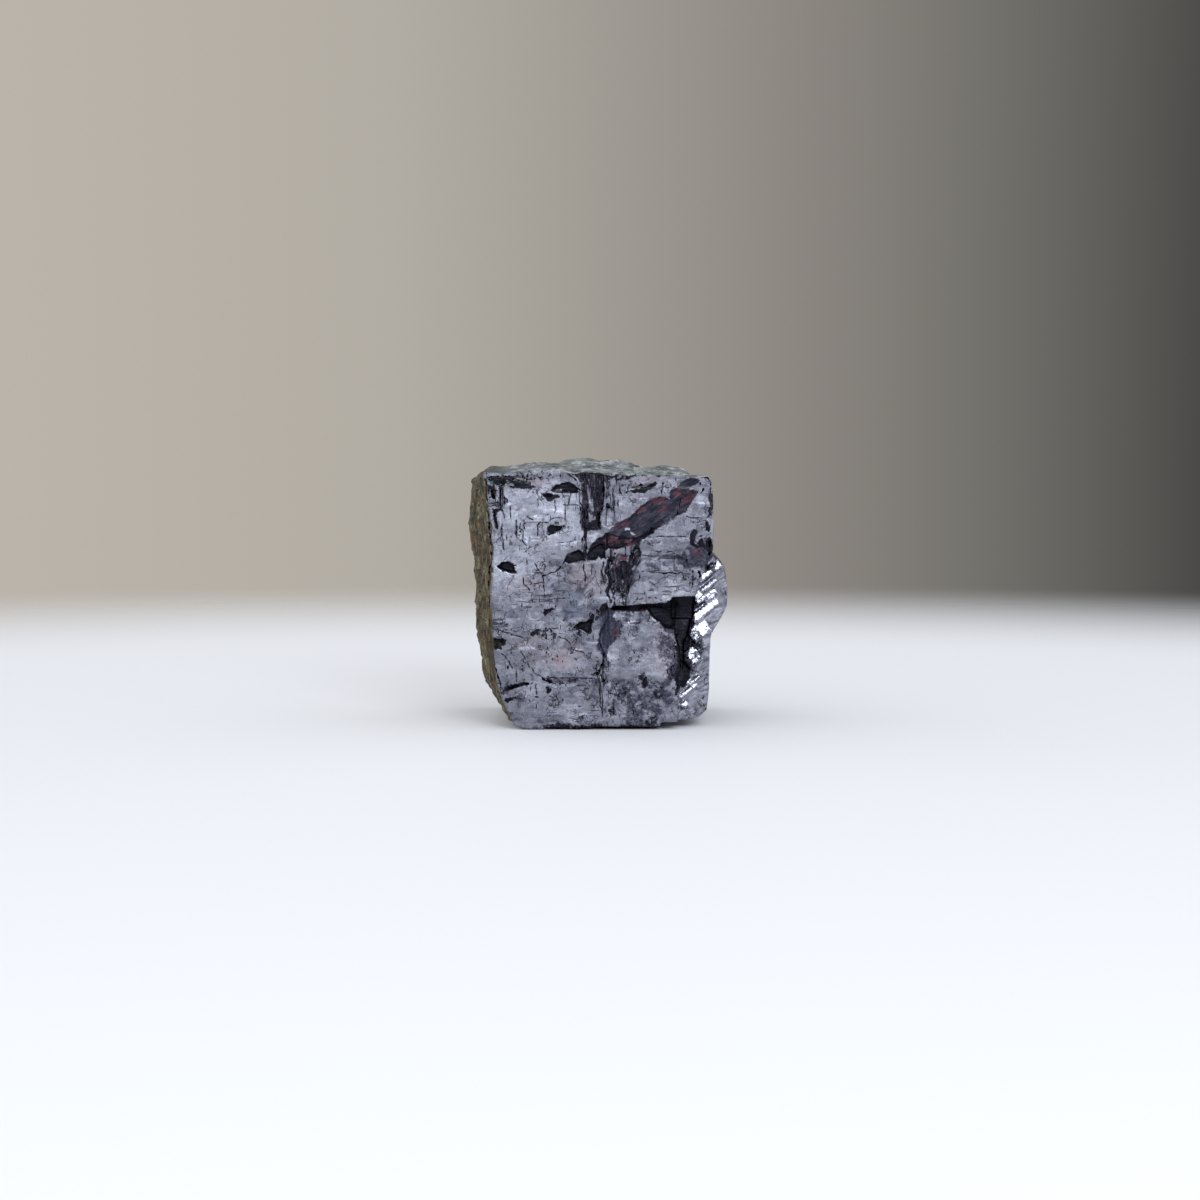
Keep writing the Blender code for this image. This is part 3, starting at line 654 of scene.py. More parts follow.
# The long oval along the foot, at x 0.2 and z 0.1, lays dark crumbs there that also serve as painted shadow
# under the foot.
CRUMBLED = [
    (10.9, 9.3, 0.89, 0.56, 0.3), (11.4, 14.1, 0.67, 0.67, 0.45), (-8.6, 28.3, 4, 0.28, 0.55),
    (4.7, 28.4, 5.56, 0.33, 0.55), (0.2, 28.3, 1.78, 0.56, 0.6), (-11.2, 28, 1.56, 0.56, 0.55),
    (-12.3, 26.6, 0.67, 0.89, 0.55), (-8.6, 27.4, 1.78, 0.67, 0.45), (1.6, 28.1, 2, 0.56, 0.55),
    (3.4, 27.2, 1.33, 0.78, 0.35), (3.1, 17.8, 1.11, 1.44, 0.8), (4, 19, 0.78, 0.89, 0.75),
    (2, 17.1, 0.78, 1.78, 0.62), (2.6, 15.4, 0.89, 0.89, 0.55), (1.6, 19.1, 0.44, 0.89, 0.6),
    (1.9, 20.7, 1.33, 0.67, 0.45), (6.4, 14.6, 3.33, 0.56, 0.35), (10.2, 17.3, 1.11, 1.33, 0.4),
    (-2.5, 11.2, 1.56, 1, 0.45), (0.2, 13.2, 1.11, 1.11, 0.5), (4.9, 5.7, 0.67, 0.78, 0.5),
    (2.5, 4.3, 1.22, 1.22, 0.42), (6.8, 4.2, 1, 1.44, 0.52), (8.4, 6.3, 1, 1.44, 0.5),
    (4, 2.8, 1.11, 1.22, 0.36), (1.2, 2.2, 0.78, 0.89, 0.4), (5.9, 1, 1.22, 0.67, 0.5),
    (9.6, 8.4, 0.56, 2.89, 0.55), (8.2, 10.1, 1.33, 2.22, 0.25), (0.2, 0.1, 8.89, 0.67, 0.72),
    (-5.5, 5.6, 0.67, 0.33, 0.5), (-3.9, 5.2, 0.78, 0.33, 0.52), (-2.8, 5.6, 0.56, 0.44, 0.5),
    (-1.4, 5.3, 0.56, 0.28, 0.45), (1, 7, 0.67, 1.56, 0.5), (-4.6, 3.2, 1.78, 0.78, 0.3),
    (-7.9, 7.4, 1.11, 1.56, 0.36), (-5.5, 8.4, 1.56, 1.33, 0.3), (-9.2, 9, 1.78, 2.44, 0.22),
    (-10.9, 4.6, 1.11, 0.89, 0.4), (-5.9, 10.8, 2.89, 0.44, 0.48), (-10.3, 11.2, 2.22, 0.44, 0.4),
    (-0.2, 6.8, 0.56, 1.56, 0.45), (-0.9, 4.6, 1.33, 2.22, 0.2), (-3.1, 19, 1.56, 0.67, 0.25),
    (-5.3, 14.6, 3.33, 1.78, 0.12), (12.7, 26.8, 0.44, 1.78, 0.3), (11.7, 22.3, 1.33, 1.78, 0.35),
    (4.7, 27.4, 2.67, 0.67, 0.3),
]
LEVEL_LINES = [
    (7.5, 19.4, 2.89, 0.67, 0.62), (7.2, 17.9, 2.89, 0.44, 0.55), (7.5, 15.9, 2.89, 0.89, 0.42),
    (-5.9, 17.6, 2.44, 0.56, 0.4), (-7.5, 14.6, 4.89, 0.89, 0.42), (-4.2, 13.2, 3.33, 1.11, 0.3),
    (-10.9, 11.9, 1.78, 0.78, 0.5), (-9.8, 3.7, 1.78, 1, 0.4), (-2.5, 1.8, 4.44, 0.89, 0.3),
    (-6.9, 27.9, 3.33, 0.44, 0.35), (-8.9, 27.7, 1.78, 0.56, 0.8), (8, 21.8, 2.44, 0.89, 0.22),
    (1.9, 13.7, 2.22, 0.78, 0.5), (-4.8, 15.4, 4.44, 0.67, 0.3),
]

co = coordinates(stone)
normal = vertex_normals(stone)
rind, top, broken, cleaved = skins(co, normal)
crushed = np.maximum(spots(co, UPRIGHT_LINES), spots(co, CRUMBLED))
front_side = (co[:, 1] < FRONT + 0.6) * 1.0
facets = broken * smoothstep(0.86, 0.94, normal @ STEP_FACING)
paint(stone, "chipped", facets + CHIPPED_BESIDE_FACETS * broken)
nicked = NICKED_ALL_OVER + NICKED_IN_FRONT * front_side + crushed
paint(stone, "nicked", smoothstep(*STEPPED, cleaved) * nicked)

work_in(block, chips, per_mm2=0.9, seed=5, material=fissure)
work_in(block, nicks, per_mm2=1.7, seed=3, material=fissure)
stone = work_in(block, cracks, routes=crack_routes, seed=2.0, material=fissure)
bpy.data.objects.remove(crack_routes)

# --- Stains -----------------------------------------------------------------------------------------
# A slate-coloured seam with iron-red patches runs across the upper right of the main face. Dark
# tarnish lies in its broken places, and its pits, slots and hollows are painted near black, as the
# shade in them. Each outline and spot is painted on as a number.

SEAM = [
    [1.03, 20.33, 0.92, 21.66, 1.58, 22.28, 2.19, 22.94, 3.47, 23.72, 4.47, 24.72, 5.58, 25.61,
     6.92, 26.11, 8.03, 25.83, 7.92, 26.55, 8.36, 26.94, 8.8, 27.05, 9.25, 27.66, 9.69, 27.94,
     10.25, 28.27, 11.03, 28.16, 11.42, 27.89, 11.08, 27.5, 10.47, 27.28, 10.03, 26.89, 10.69, 26.83,
     11.23, 26.66, 10.47, 25.66, 10.14, 24.89, 9.75, 24.28, 8.86, 23.94, 7.92, 23.39, 6.25, 22.28,
     5.36, 21.78, 4.69, 21.55, 4.03, 21.66, 3.81, 20.89, 2.25, 20.33],
]
# Places painted near black: the shade in pits, slots and hollows, under the ledge and down the groove, and
# the dark lower end of the seam.
SHADED_HOLLOWS = [
    # the lower end of the seam, with the pits left of it
    [-0.86, 20.44, -0.53, 21, 0.36, 21.66, 1.03, 22.11, 1.69, 21.83, 2.69, 21.72, 3.92, 21.44,
     3.81, 20.83, 2.25, 20.39, 1.25, 20.44, 0.81, 20.22, 0.81, 19.44, 0.36, 19.22, 0.03, 19.66,
     -0.26, 19.05, -1.08, 19.16, -1.25, 19.55],
    [3.81, 21.55, 4.69, 21.66, 5.47, 22.33, 6.25, 22.61, 6.25, 22.16, 5.36, 21.61, 4.58, 21.11,
     4.03, 20.89],
    [-3.64, 19.22, -3.19, 19.66, -2.64, 20, -2.03, 20.16, -1.53, 19.89, -1.36, 19.44, -1.58, 19,
     -2.31, 19.05, -2.86, 18.78, -3.53, 18.83],
    # the black slot at the foot of the streaks
    [-1.25, 22.78, -0.86, 23.33, -0.42, 23.5, 0.25, 23.66, 0.31, 22.55, -0.42, 22.5, -1.08, 22.39],
    # pits
    [-5.25, 26.83, -4.92, 27.28, -4.31, 27.5, -3.31, 27.66, -2.97, 27.61, -2.47, 27.22, -2.14, 26.61,
     -2.97, 26.66, -3.64, 26.72, -4.19, 26.83, -3.97, 27.05, -4.64, 26.98, -4.97, 26.72],
    [-6.14, 26.39, -5.64, 26.44, -5.08, 26.28, -4.25, 26.22, -4.42, 26, -4.97, 25.89, -5.08, 25.72,
     -5.53, 25.74, -5.75, 26],
    [-5.64, 22, -5.58, 22.61, -5.31, 22.94, -4.75, 22.89, -4.19, 22.83, -3.64, 22.89, -4.19, 22.44,
     -4.64, 22.28, -4.97, 22.05, -5.47, 21.85],
    [-11.25, 18.33, -10.64, 18.78, -10.08, 18.89, -9.69, 18.78, -9.25, 18.16, -9.08, 17.66,
     -9.86, 17.72, -10.53, 17.89],
    [-12.75, 17.89, -12.19, 18.33, -11.64, 18.16, -11.75, 17.72, -12.42, 17.78],
    [-2.64, 11.55, -1.97, 12.11, -1.31, 12.17, -0.81, 12.55, -0.75, 13.17, -0.47, 13, -0.58, 12.22,
     -0.86, 11.61, -0.64, 11, -1.03, 10.78, -1.36, 11.11, -1.75, 11.39],
    [-12.64, 10.33, -10.19, 10.22, -10.42, 9.67, -10.86, 9.55, -10.75, 9.22, -11.42, 9.11,
     -12.42, 9.33],
    [2.92, 26.55, 4.69, 27, 5.36, 27.22, 5.97, 27.5, 6.47, 27.78, 6.36, 27.39, 5.8, 27, 5.25, 26.66,
     4.25, 26.61, 3.69, 26.72],
    [-10.53, 4.44, -10.19, 4.89, -9.3, 5.17, -8.3, 5.33, -7.3, 5.28, -8.08, 5.11, -8.97, 4.89,
     -9.75, 4.56],
    [-10.53, 3.28, -10.19, 3.56, -9.53, 3.61, -9.14, 3.72, -9.53, 3.39, -10.08, 3.22],
    [-5.75, 4.78, -5.47, 4.89, -5.31, 4.56, -5.42, 4.11, -5.64, 4.28],
    [-6.08, 13.22, -5.75, 13.61, -5.19, 13.72, -4.86, 13.61, -5.53, 13.33, -5.86, 12.89],
    [-7.47, 10.72, -7.19, 11.11, -6.58, 11.33, -6.86, 11, -7.25, 10.61],
    # the maze in the upper left corner
    [-11.75, 28.22, -10.3, 28.27, -10.19, 27.89, -10.47, 27.44, -10.86, 27.66, -11.3, 27.44,
     -11.75, 27.78],
    [-10.19, 28.33, -9.19, 28.27, -8.3, 28.05, -8.42, 27.83, -9.53, 27.83, -10.08, 28],
    [-9.97, 27.61, -8.64, 27.61, -7.75, 27.5, -7.03, 27.22, -7.53, 27.05, -8.64, 27.13, -9.53, 27.22],
    [-11.64, 24.72, -10.86, 24.69, -10.86, 24.5, -11.3, 24.44, -11.25, 23.44, -11.08, 22.78,
     -11.25, 22.66, -11.53, 23.66],
    # in the lobes over the soft stain, and at the right edge
    [10.3, 21.11, 10.42, 22.11, 10.69, 22.5, 11.03, 22.44, 10.92, 21.89, 10.75, 21.11, 10.92, 20.66,
     10.47, 20.66],
    [11.14, 20.55, 11.36, 21.33, 11.64, 21.44, 11.75, 21.11, 11.69, 20.44],
    [12.1, 21.44, 12.47, 21.61, 12.73, 21, 12.69, 19.89, 12.36, 19.89, 12.08, 20.44],
    [12.06, 22.44, 11.98, 23.22, 12.25, 23.33, 12.45, 22.66, 12.34, 22.33],
    # below the end of the ledge, and at the foot
    [0.47, 14.11, 1.03, 14.33, 1.14, 13.44, 0.69, 13, 0.25, 13.55],
    [5.03, 4.78, 5.08, 5.67, 5.47, 6, 5.58, 5.33, 5.42, 4.78],
    [9.47, 4.78, 9.58, 5.89, 9.92, 6.55, 10.25, 7, 10.25, 7.89, 10.58, 7.67, 10.47, 6.11, 10.03, 5.22,
     9.69, 4.56],
    # under the ledge and down the groove
    [1.31, 13.5, 1.69, 13.89, 3.58, 13.89, 5.25, 14.11, 7.47, 14.11, 8.47, 14.89, 10.89, 14.89,
     10.86, 12.22, 10.4, 10.61, 10.2, 8.7, 10.2, 7, 10.4, 5.67, 9.5, 5, 8.69, 3.9, 8.9, 6.6, 8.9, 9,
     8.6, 11.2, 7.6, 11.4, 6.92, 12.11, 6.2, 12.6, 5.58, 13.5, 4.21, 13.3, 2.58, 13.4],
]
SLATE_OUTLINES = [
    [1.03, 13.55, 1.58, 13.67, 1.69, 12.78, 2.25, 12.33, 2.58, 11.67, 2.47, 10.78, 2.03, 9.94,
     1.47, 9.44, 1.03, 8.78, 0.69, 8, 0.25, 8.33, 0.08, 9.44, 0.25, 10.55, 0.31, 11.55, 0.58, 12.78],
]
RED_IN_SEAM = [
    (10.2, 25.9, 1.22, 0.89, 1), (8.7, 26.6, 0.78, 0.56, 1), (6.5, 25.8, 1.33, 0.44, 1),
    (4.8, 24.9, 0.89, 0.44, 0.9), (7.4, 24.7, 1.11, 0.29, 0.62), (8.7, 24.9, 0.67, 0.44, 0.6),
    (3, 23.2, 1, 0.44, 0.95), (4.5, 24.4, 0.67, 0.33, 0.7), (2, 22.7, 0.67, 0.44, 0.8),
    (7.1, 24.7, 1.11, 0.33, 0.8),
]
# Iron red; dark stains and mottles, with painted shade along the foot, under the ledge, beside the
# groove and by the rind; films of pink and blue grey; and lighter places, mostly painted reflection
# where the cleavage catches more light.
RED_SPOTS = [
    (1.8, 21.1, 1.22, 0.56, 0.75), (3.5, 21.1, 0.78, 0.44, 0.65), (2.9, 19.1, 0.42, 0.36, 1.1),
    (2.1, 18.3, 0.56, 0.44, 0.75), (3.9, 20.4, 0.56, 0.33, 0.6), (11.1, 19.8, 0.67, 0.78, 0.55),
    (2.1, 10.9, 0.44, 0.89, 0.95), (5.1, 13.3, 0.56, 0.44, 0.45), (0.2, 21.1, 0.44, 0.44, 0.4),
]
# Dark stains and mottles, and painted shade along the foot, under the ledge, beside the groove and down the
# left border by the rind.
STAINS_AND_SHADE = [
    (0.6, 9.4, 0.78, 1.33, 0.8), (0.9, 7, 0.67, 1.56, 0.5), (-4.6, 18.3, 1.33, 0.56, 0.3),
    (-4.2, 16.8, 2.89, 1.78, 0.3), (11, 19.4, 2, 1.67, 1.6), (10.5, 18.9, 1.44, 1, 2),
    (-0.6, 25.7, 1.11, 2.67, 0.5), (1.4, 17.3, 0.44, 3.78, 0.6), (2.7, 17, 1.67, 2.22, 1.3),
    (4.4, 19, 0.56, 2, 0.7), (3.4, 20.9, 1.33, 0.56, 0.6), (-2.5, 15.8, 1.56, 0.78, 0.38),
    (-2.9, 13.1, 1.33, 0.89, 0.42), (4.7, 13.4, 3.33, 0.56, 0.6), (6.8, 4.2, 1.89, 1.78, 1),
    (8.4, 6.1, 1.33, 2, 0.8), (5.4, 5.6, 0.78, 1.11, 1), (2.6, 4.3, 1.67, 1.67, 1),
    (4.2, 2.7, 1.78, 1.33, 0.75), (1.2, 2.1, 1.11, 1.11, 0.75), (4.8, 1, 2.22, 0.78, 0.85),
    (7.7, 2.8, 0.89, 1.56, 0.8), (8.2, 8.4, 1, 1.78, 0.7), (8, 9.9, 1.44, 3.33, 1.1),
    (8.9, 12.9, 0.89, 1.56, 0.6), (0.6, 11, 0.89, 2.22, 0.75), (0.7, 13.2, 0.89, 0.89, 0.5),
    (5.8, 3.2, 4, 2.44, 0.62), (5.8, 10.1, 3.78, 2.22, 0.2), (3.4, 12.1, 1.78, 0.89, 0.5),
    (5.6, 13.1, 1.56, 0.78, 0.8), (7.5, 18.3, 3.33, 1, 0.3), (-9.5, 4.6, 1.56, 0.89, 0.45),
    (-8.6, 3.4, 1.56, 0.78, 0.3), (-3.6, 5.4, 2.67, 0.56, 0.38), (-1.4, 16.2, 2.44, 2.67, 0.45),
    (-12.4, 14.6, 0.33, 10, 0.4), (-4.2, 14.6, 4.44, 1.56, 0.22), (-3.1, 1, 7.78, 0.67, 0.25),
    (-0.3, 0.2, 8, 0.44, 1), (-12, 27.2, 1.11, 1.56, 0.35), (-8.6, 27.4, 1.78, 0.56, 0.35),
    (-0.1, 4.6, 0.67, 4.44, 0.32), (-4.8, 8.4, 4.89, 3.33, 0.12), (-4.2, 22.4, 0.56, 0.33, 0.3),
]
WARM_FILM = [
    (-4, 8, 1, 1, 1), (-3.1, 7.3, 0.78, 0.67, 0.8), (-4.6, 8.4, 3.11, 2, 0.35),
    (-1.1, 16.8, 2.67, 2.22, 0.5), (2.1, 19.9, 0.67, 0.56, 1), (7.8, 9, 1.56, 3.56, 0.5),
    (5.4, 13.6, 1, 0.67, 0.9), (5.8, 27.7, 3.33, 0.89, 0.3), (-6.8, 27.8, 1.11, 0.56, 0.6),
    (-9.4, 21.4, 0.78, 0.44, 0.6), (-8.3, 16.2, 2.67, 1.11, 0.3), (-7.1, 9.9, 2.22, 1.11, 0.3),
]
BLUE_FILM = [
    (-2.9, 13.1, 1.33, 0.78, 1), (-2.4, 15.1, 1.33, 0.56, 0.9), (-4.6, 15.9, 1.11, 0.44, 0.5),
    (0.7, 11.8, 0.89, 1.78, 0.4),
]
# Lighter places: mostly painted reflection where the cleavage catches more light, as over the upper left and
# on the broken corner's flank, and a few pale patches in the seam.
LIT_AND_PALE_PLACES = [
    (7.5, 18.8, 3.11, 1.33, 0.35), (8.7, 14.6, 2.22, 0.67, 0.2), (-4.2, 1.8, 5.56, 1.33, 0.25),
    (-7.5, 14.6, 4.44, 1.56, 0.3), (-6.4, 24, 5.11, 4.67, 1.1), (-9.5, 19, 3.56, 3.56, 1.1),
    (-5.9, 29, 2.44, 0.89, 0.4), (3.2, 22.4, 0.44, 0.27, 2.6), (3.9, 22.1, 0.5, 0.2, 2.6),
    (9.2, 25.4, 0.18, 0.16, 1.4), (11.7, 26, 0.78, 1.33, 1), (6.9, 21.8, 2.89, 1.56, 0.1),
    (7.4, 15.7, 3.33, 1.11, 1), (4.2, 18.1, 0.33, 0.67, 1.2), (4.7, 9, 2.44, 2.44, 0.15),
    (1.4, 7.2, 0.89, 1.56, 0.8), (-4, 27.7, 1.56, 0.33, 0.5), (-0.4, 21.4, 0.44, 0.56, 1.2),
    (2.7, 25.7, 0.78, 0.89, 0.5), (6.9, 27.9, 2.22, 0.78, 0.3), (-3.1, 8.4, 2.67, 1.56, 0.35),
    (2.1, 19.9, 0.56, 0.56, 1), (11.8, 11, 0.78, 1.78, 1.3), (-4.2, 3.4, 4.44, 1.56, 0.15),
]
COPPER_GREEN = [
    (-12, 27.7, 0.3, 0.34, 1), (-12.3, 26.9, 0.22, 0.33, 0.5),
]
FAR = 3.0
OUTLINES_REACH = 4.5


def edge_distance(co, outlines):
    """Distance from the nearest outline on the main face, in millimetres: negative inside it."""
    flat = co[:, [0, 2]]
    nearest = np.full(len(co), FAR)
    for outline in outlines:
        corners = list(zip(outline[::2], outline[1::2]))
        inside = np.zeros(len(co), bool)
        distance = np.full(len(co), FAR)
        for (x0, z0), (x1, z1) in zip(corners, corners[1:] + corners[:1]):
            side = np.array([x1 - x0, z1 - z0])
            offset = flat - (x0, z0)
            share = np.clip(offset @ side / (side @ side), 0, 1)
            distance = np.minimum(distance, np.linalg.norm(offset - share[:, None] * side, axis=1))
            crosses = (z0 > flat[:, 1]) != (z1 > flat[:, 1])
            if z0 != z1:
                inside ^= crosses & (flat[:, 0] < (x1 - x0) * (flat[:, 1] - z0) / (z1 - z0) + x0)
        nearest = np.minimum(nearest, np.where(inside, -distance, distance))
    return np.where(co[:, 1] < FRONT + OUTLINES_REACH, nearest, FAR)


def inside(co, outlines, softness):
    """1 inside the outlines, fading to 0 over their edges."""
    return smoothstep(softness, -softness, edge_distance(co, outlines))


co = coordinates(stone)
rind, top, broken, cleaved = skins(co, vertex_normals(stone))
from_seam = edge_distance(co, SEAM)
in_seam = smoothstep(0.25, -0.10, from_seam)
# The painted shade of the hollows reaches a little lower, over the lit rims under them.
shade_over_lower_rims = (0, 0, 0.07)
stains = {
    "rind": rind,
    "top": top,
    "broken": broken,
    "seam": from_seam,
    "dark": edge_distance(co + shade_over_lower_rims, SHADED_HOLLOWS),
    "slate": edge_distance(co, SLATE_OUTLINES),
    "red": np.maximum(spots(co, RED_IN_SEAM) * in_seam, spots(co, RED_SPOTS)),
    "upright": np.maximum(0.78 * inside(co, STREAKED, 0.3), spots(co, UPRIGHT_LINES)),
    "crumbled": np.maximum(0.40 * inside(co, CRUMBLY, 0.5), spots(co, CRUMBLED)),
    "level": spots(co, LEVEL_LINES),
    "shade": spots(co, STAINS_AND_SHADE),
    "warm": spots(co, WARM_FILM),
    "blue": spots(co, BLUE_FILM),
    "light": spots(co, LIT_AND_PALE_PLACES),
    "green": spots(co, COPPER_GREEN),
}
for name, values in stains.items():
    paint(stone, name, values)
for name in ("nicked", "chipped"):
    stone.attributes.remove(stone.attributes[name])

stone.transform(Matrix.Scale(MM, 4))
stone.shade_smooth()
stone.set_sharp_from_angle(angle=math.radians(32))

# --- Finish of the galena ---------------------------------------------------------------------------
# Fresh cleavage is a bright lead grey with a blue cast. It is a mosaic: each small layer is turned a
# little from the next, so each gives back the light in its own shade.


def shade(r, g, b):
    """A colour given as it looks on screen, from 0 to 255."""
    return tuple(((c / 255 + 0.055) / 1.055) ** 2.4 if c > 10 else c / 3295 for c in (r, g, b)) + (1.0,)


def light(r, g, b):
    """A colour given as its share of light, from 0 to 1."""
    return (r, g, b, 1.0)


class Paint(Nodes):
    """Adds nodes to a material, a shader group or a world."""

    def painted(self, name):
        return self.add("ShaderNodeAttribute", attribute_name=name).outputs["Fac"]

    def most(self, a, b):
        return self.number("MAXIMUM", a, b)

    def step(self, value, low, high, to_low=0.0, to_high=1.0):
        """A soft step from one value to another as the input rises from low to high."""
        inputs = {0: value, 1: low, 2: high, 3: to_low, 4: to_high}
        return self.add("ShaderNodeMapRange", inputs, interpolation_type="SMOOTHSTEP").outputs[0]

    def blend(self, share, first, second):
        return self.add("ShaderNodeMix", {0: share, 6: first, 7: second}, data_type="RGBA").outputs[2]

    def darken(self, share, first, second):
        """A blend to a darker colour which looks half done at one half: colours mix by light."""
        look = self.times(share, self.number("SUBTRACT", 2.0, share))
        return self.blend(look, first, second)

    def cloud(self, place, scale, detail=2.0, roughness=0.5):
        inputs = {"Vector": place, "Scale": scale, "Detail": detail, "Roughness": roughness}
        return self.add("ShaderNodeTexNoise", inputs).outputs["Fac"]

    def cells(self, place, scale, **settings):
        return self.add("ShaderNodeTexVoronoi", {"Vector": place, "Scale": scale}, **settings).outputs

    def ramp(self, value, *stops, given_as=shade):
        """A colour that changes with a value, through stops of a place and a colour."""
        node = self.add("ShaderNodeValToRGB", {0: value})
        elements = node.color_ramp.elements
        while len(elements) < len(stops):
            elements.new(0.5)
        for element, (place, *colour) in zip(elements, stops):
            element.position = place
            element.color = given_as(*colour)
        return node.outputs[0]

    def millimetres(self):
        """The object's own coordinates."""
        place = self.add("ShaderNodeTexCoord").outputs["Object"]
        return self.add("ShaderNodeMapping", {"Vector": place, "Scale": (1 / MM, 1 / MM, 1 / MM)}).outputs[0]


SQUARE_CELLS = {"distance": "CHEBYCHEV"}
SEAM_SLANT = math.radians(30)

# The mosaic of layers, which are drawn out sideways.
mosaic = bpy.data.node_groups.new("cleavage_mosaic", "ShaderNodeTree")
n = Paint(
    mosaic,
    {"Position": "Vector", "Patch size": 1.1, "Turn": 0.02},
    {"Tone": "Float", "Seams": "Float", "Hairlines": "Float", "Height": "Float", "Normal": "Vector"},
)
place = n.given["Position"]
stir = n.add("ShaderNodeTexNoise", {"Vector": place, "Scale": 0.9, "Detail": 3.0}).outputs["Color"]
stir = n.vector("SUBTRACT", stir, MIDDLE)
strayed = n.vector("MULTIPLY_ADD", stir, (0.5, 0.5, 0.35), place)
wide = n.stretched(strayed, (0.7, 0.7, 1.25))
patch_scale = n.number("DIVIDE", 1.0, n.given["Patch size"])
fine_scale = n.times(patch_scale, 3.1)
patch = n.cells(wide, patch_scale, **SQUARE_CELLS)
chip = n.cells(wide, fine_scale, **SQUARE_CELLS)
chip_next = n.cells(wide, fine_scale, feature="F2", **SQUARE_CELLS)
patch_tone = n.add("ShaderNodeSeparateColor", {0: patch["Color"]}).outputs[0]
chip_tone = n.add("ShaderNodeSeparateColor", {0: chip["Color"]}).outputs[0]
gap = n.number("SUBTRACT", chip_next["Distance"], chip["Distance"])
level_lines = n.cloud(n.stretched(strayed, (0.7, 0.7, 7.0)), 1.6, 3.0, 0.6)
upright_lines = n.cloud(n.stretched(strayed, (6.0, 6.0, 0.6)), 1.6, 3.0, 0.6)
tone = n.scaled(patch_tone, 0.22, n.times(chip_tone, 0.12))
tone = n.scaled(n.cloud(place, 0.45, 5.0, 0.66), 0.8, tone)
tone = n.scaled(level_lines, 0.18, tone)
tone = n.scaled(upright_lines, 0.26, n.number("SUBTRACT", tone, 0.38))
height = n.scaled(chip_tone, 0.2, n.times(patch_tone, 0.3))
height = n.scaled(level_lines, 0.12, height)
height = n.scaled(upright_lines, 0.15, height)
tilt = n.vector("SUBTRACT", patch["Color"], MIDDLE)
tilt = n.vector("ADD", tilt, n.vector("SUBTRACT", chip["Color"], MIDDLE))
surface = n.add("ShaderNodeNewGeometry").outputs["Normal"]
turned = n.vector("MULTIPLY_ADD", tilt, n.given["Turn"], surface)
crazed = n.vector("MULTIPLY_ADD", stir, (2.4, 2.4, 2.4), place)
crazed = n.cells(crazed, 0.5, feature="DISTANCE_TO_EDGE")
crazed = n.step(crazed["Distance"], 0.038, 0.0)
crazed = n.times(crazed, n.step(n.cloud(place, 0.6, 4.0, 0.6), 0.46, 0.58))
n.link(tone, n.result["Tone"])
n.link(crazed, n.result["Hairlines"])
n.link(n.step(gap, 0.06, 0.0), n.result["Seams"])
n.link(height, n.result["Height"])
n.link(n.vector("NORMALIZE", turned), n.result["Normal"])

galena.use_nodes = True
n = Paint(galena.node_tree)
shader = n.tree.nodes["Principled BSDF"].inputs
place = n.millimetres()
layers = n.add("ShaderNodeGroup", {"Position": place}, node_tree=mosaic).outputs
crumble = n.cloud(place, 2.6, 5.0, 0.65)
speckle = n.cloud(place, 7.0, 3.0, 0.7)
ragged = n.times(n.number("SUBTRACT", crumble, 0.5), 0.8)
drift = n.cloud(place, 0.18, 3.0, 0.6)
slanting = {"Vector": place, "Angle": SEAM_SLANT}
slanting = n.add("ShaderNodeVectorRotate", slanting, rotation_type="Y_AXIS").outputs[0]
fibres = n.cloud(n.stretched(slanting, (0.8, 1.0, 3.4)), 1.0, 4.0, 0.6)

# The sides that are not seen are stained by chance.
sideways, backwards, _ = n.apart(place)
elsewhere = n.step(backwards, FRONT + 1.0, FRONT + 1.8)
by_chance = n.step(n.cloud(place, 0.16, 4.0, 0.6), 0.54, 0.68)
by_chance = n.times(by_chance, elsewhere)


def stained(name, by_chance_too):
    """A painted number, with a share of the stains on the other sides."""
    return n.scaled(by_chance, by_chance_too, n.painted(name))


# Lighter where painted: mostly painted reflection.
tone = n.scaled(n.painted("light"), 0.26, layers["Tone"])
# The broken corner is painted lighter, in streaks along its slope: painted reflection.
streaks = n.scaled(fibres, 1.6, -0.64)
tone = n.scaled(n.painted("broken"), streaks, tone)
tone = n.scaled(n.number("SUBTRACT", speckle, 0.5), 0.5, tone)
colour = n.ramp(tone, (0.10, 82, 83, 94), (0.42, 120, 122, 134), (0.68, 156, 159, 173), (0.92, 190, 194, 208))
colour = n.blend(n.step(drift, 0.42, 0.66, to_high=0.3), colour, shade(112, 112, 122))
colour = n.blend(n.times(n.painted("warm"), 0.62, clamp=True), colour, shade(154, 137, 141))
colour = n.blend(n.times(n.painted("blue"), 0.75), colour, shade(98, 106, 124))
colour = n.blend(n.times(layers["Seams"], 0.3), colour, shade(66, 66, 80))
# Where 'shade' is painted: dark stains and mottles, and painted shade along the foot, under the ledge, beside
# the groove and by the rind.
wisps = n.cloud(place, 1.05, 5.0, 0.62)
stain_and_shade = n.scaled(wisps, 4.6, -1.3)
stain_and_shade = n.times(stained("shade", 0.5), stain_and_shade)
stain_and_shade = n.number("ADD", n.scaled(wisps, 3.0, -1.7), stain_and_shade, clamp=True)
stain_and_shade_tone = n.scaled(crumble, 0.5, n.times(speckle, 0.5))
stain_and_shade_tone = n.ramp(stain_and_shade_tone, (0.40, 30, 32, 46), (0.50, 54, 55, 69), (0.60, 86, 86, 98))
colour = n.darken(n.times(stain_and_shade, 0.84), colour, stain_and_shade_tone)

# Breakage: dense where painted, with a few flecks everywhere.
upright = n.cloud(n.stretched(place, (4.2, 4.2, 0.55)), 1.0, 4.0, 0.6)
level = n.cloud(n.stretched(place, (0.55, 0.55, 5.0)), 1.0, 4.0, 0.6)
COVERING = 0.46


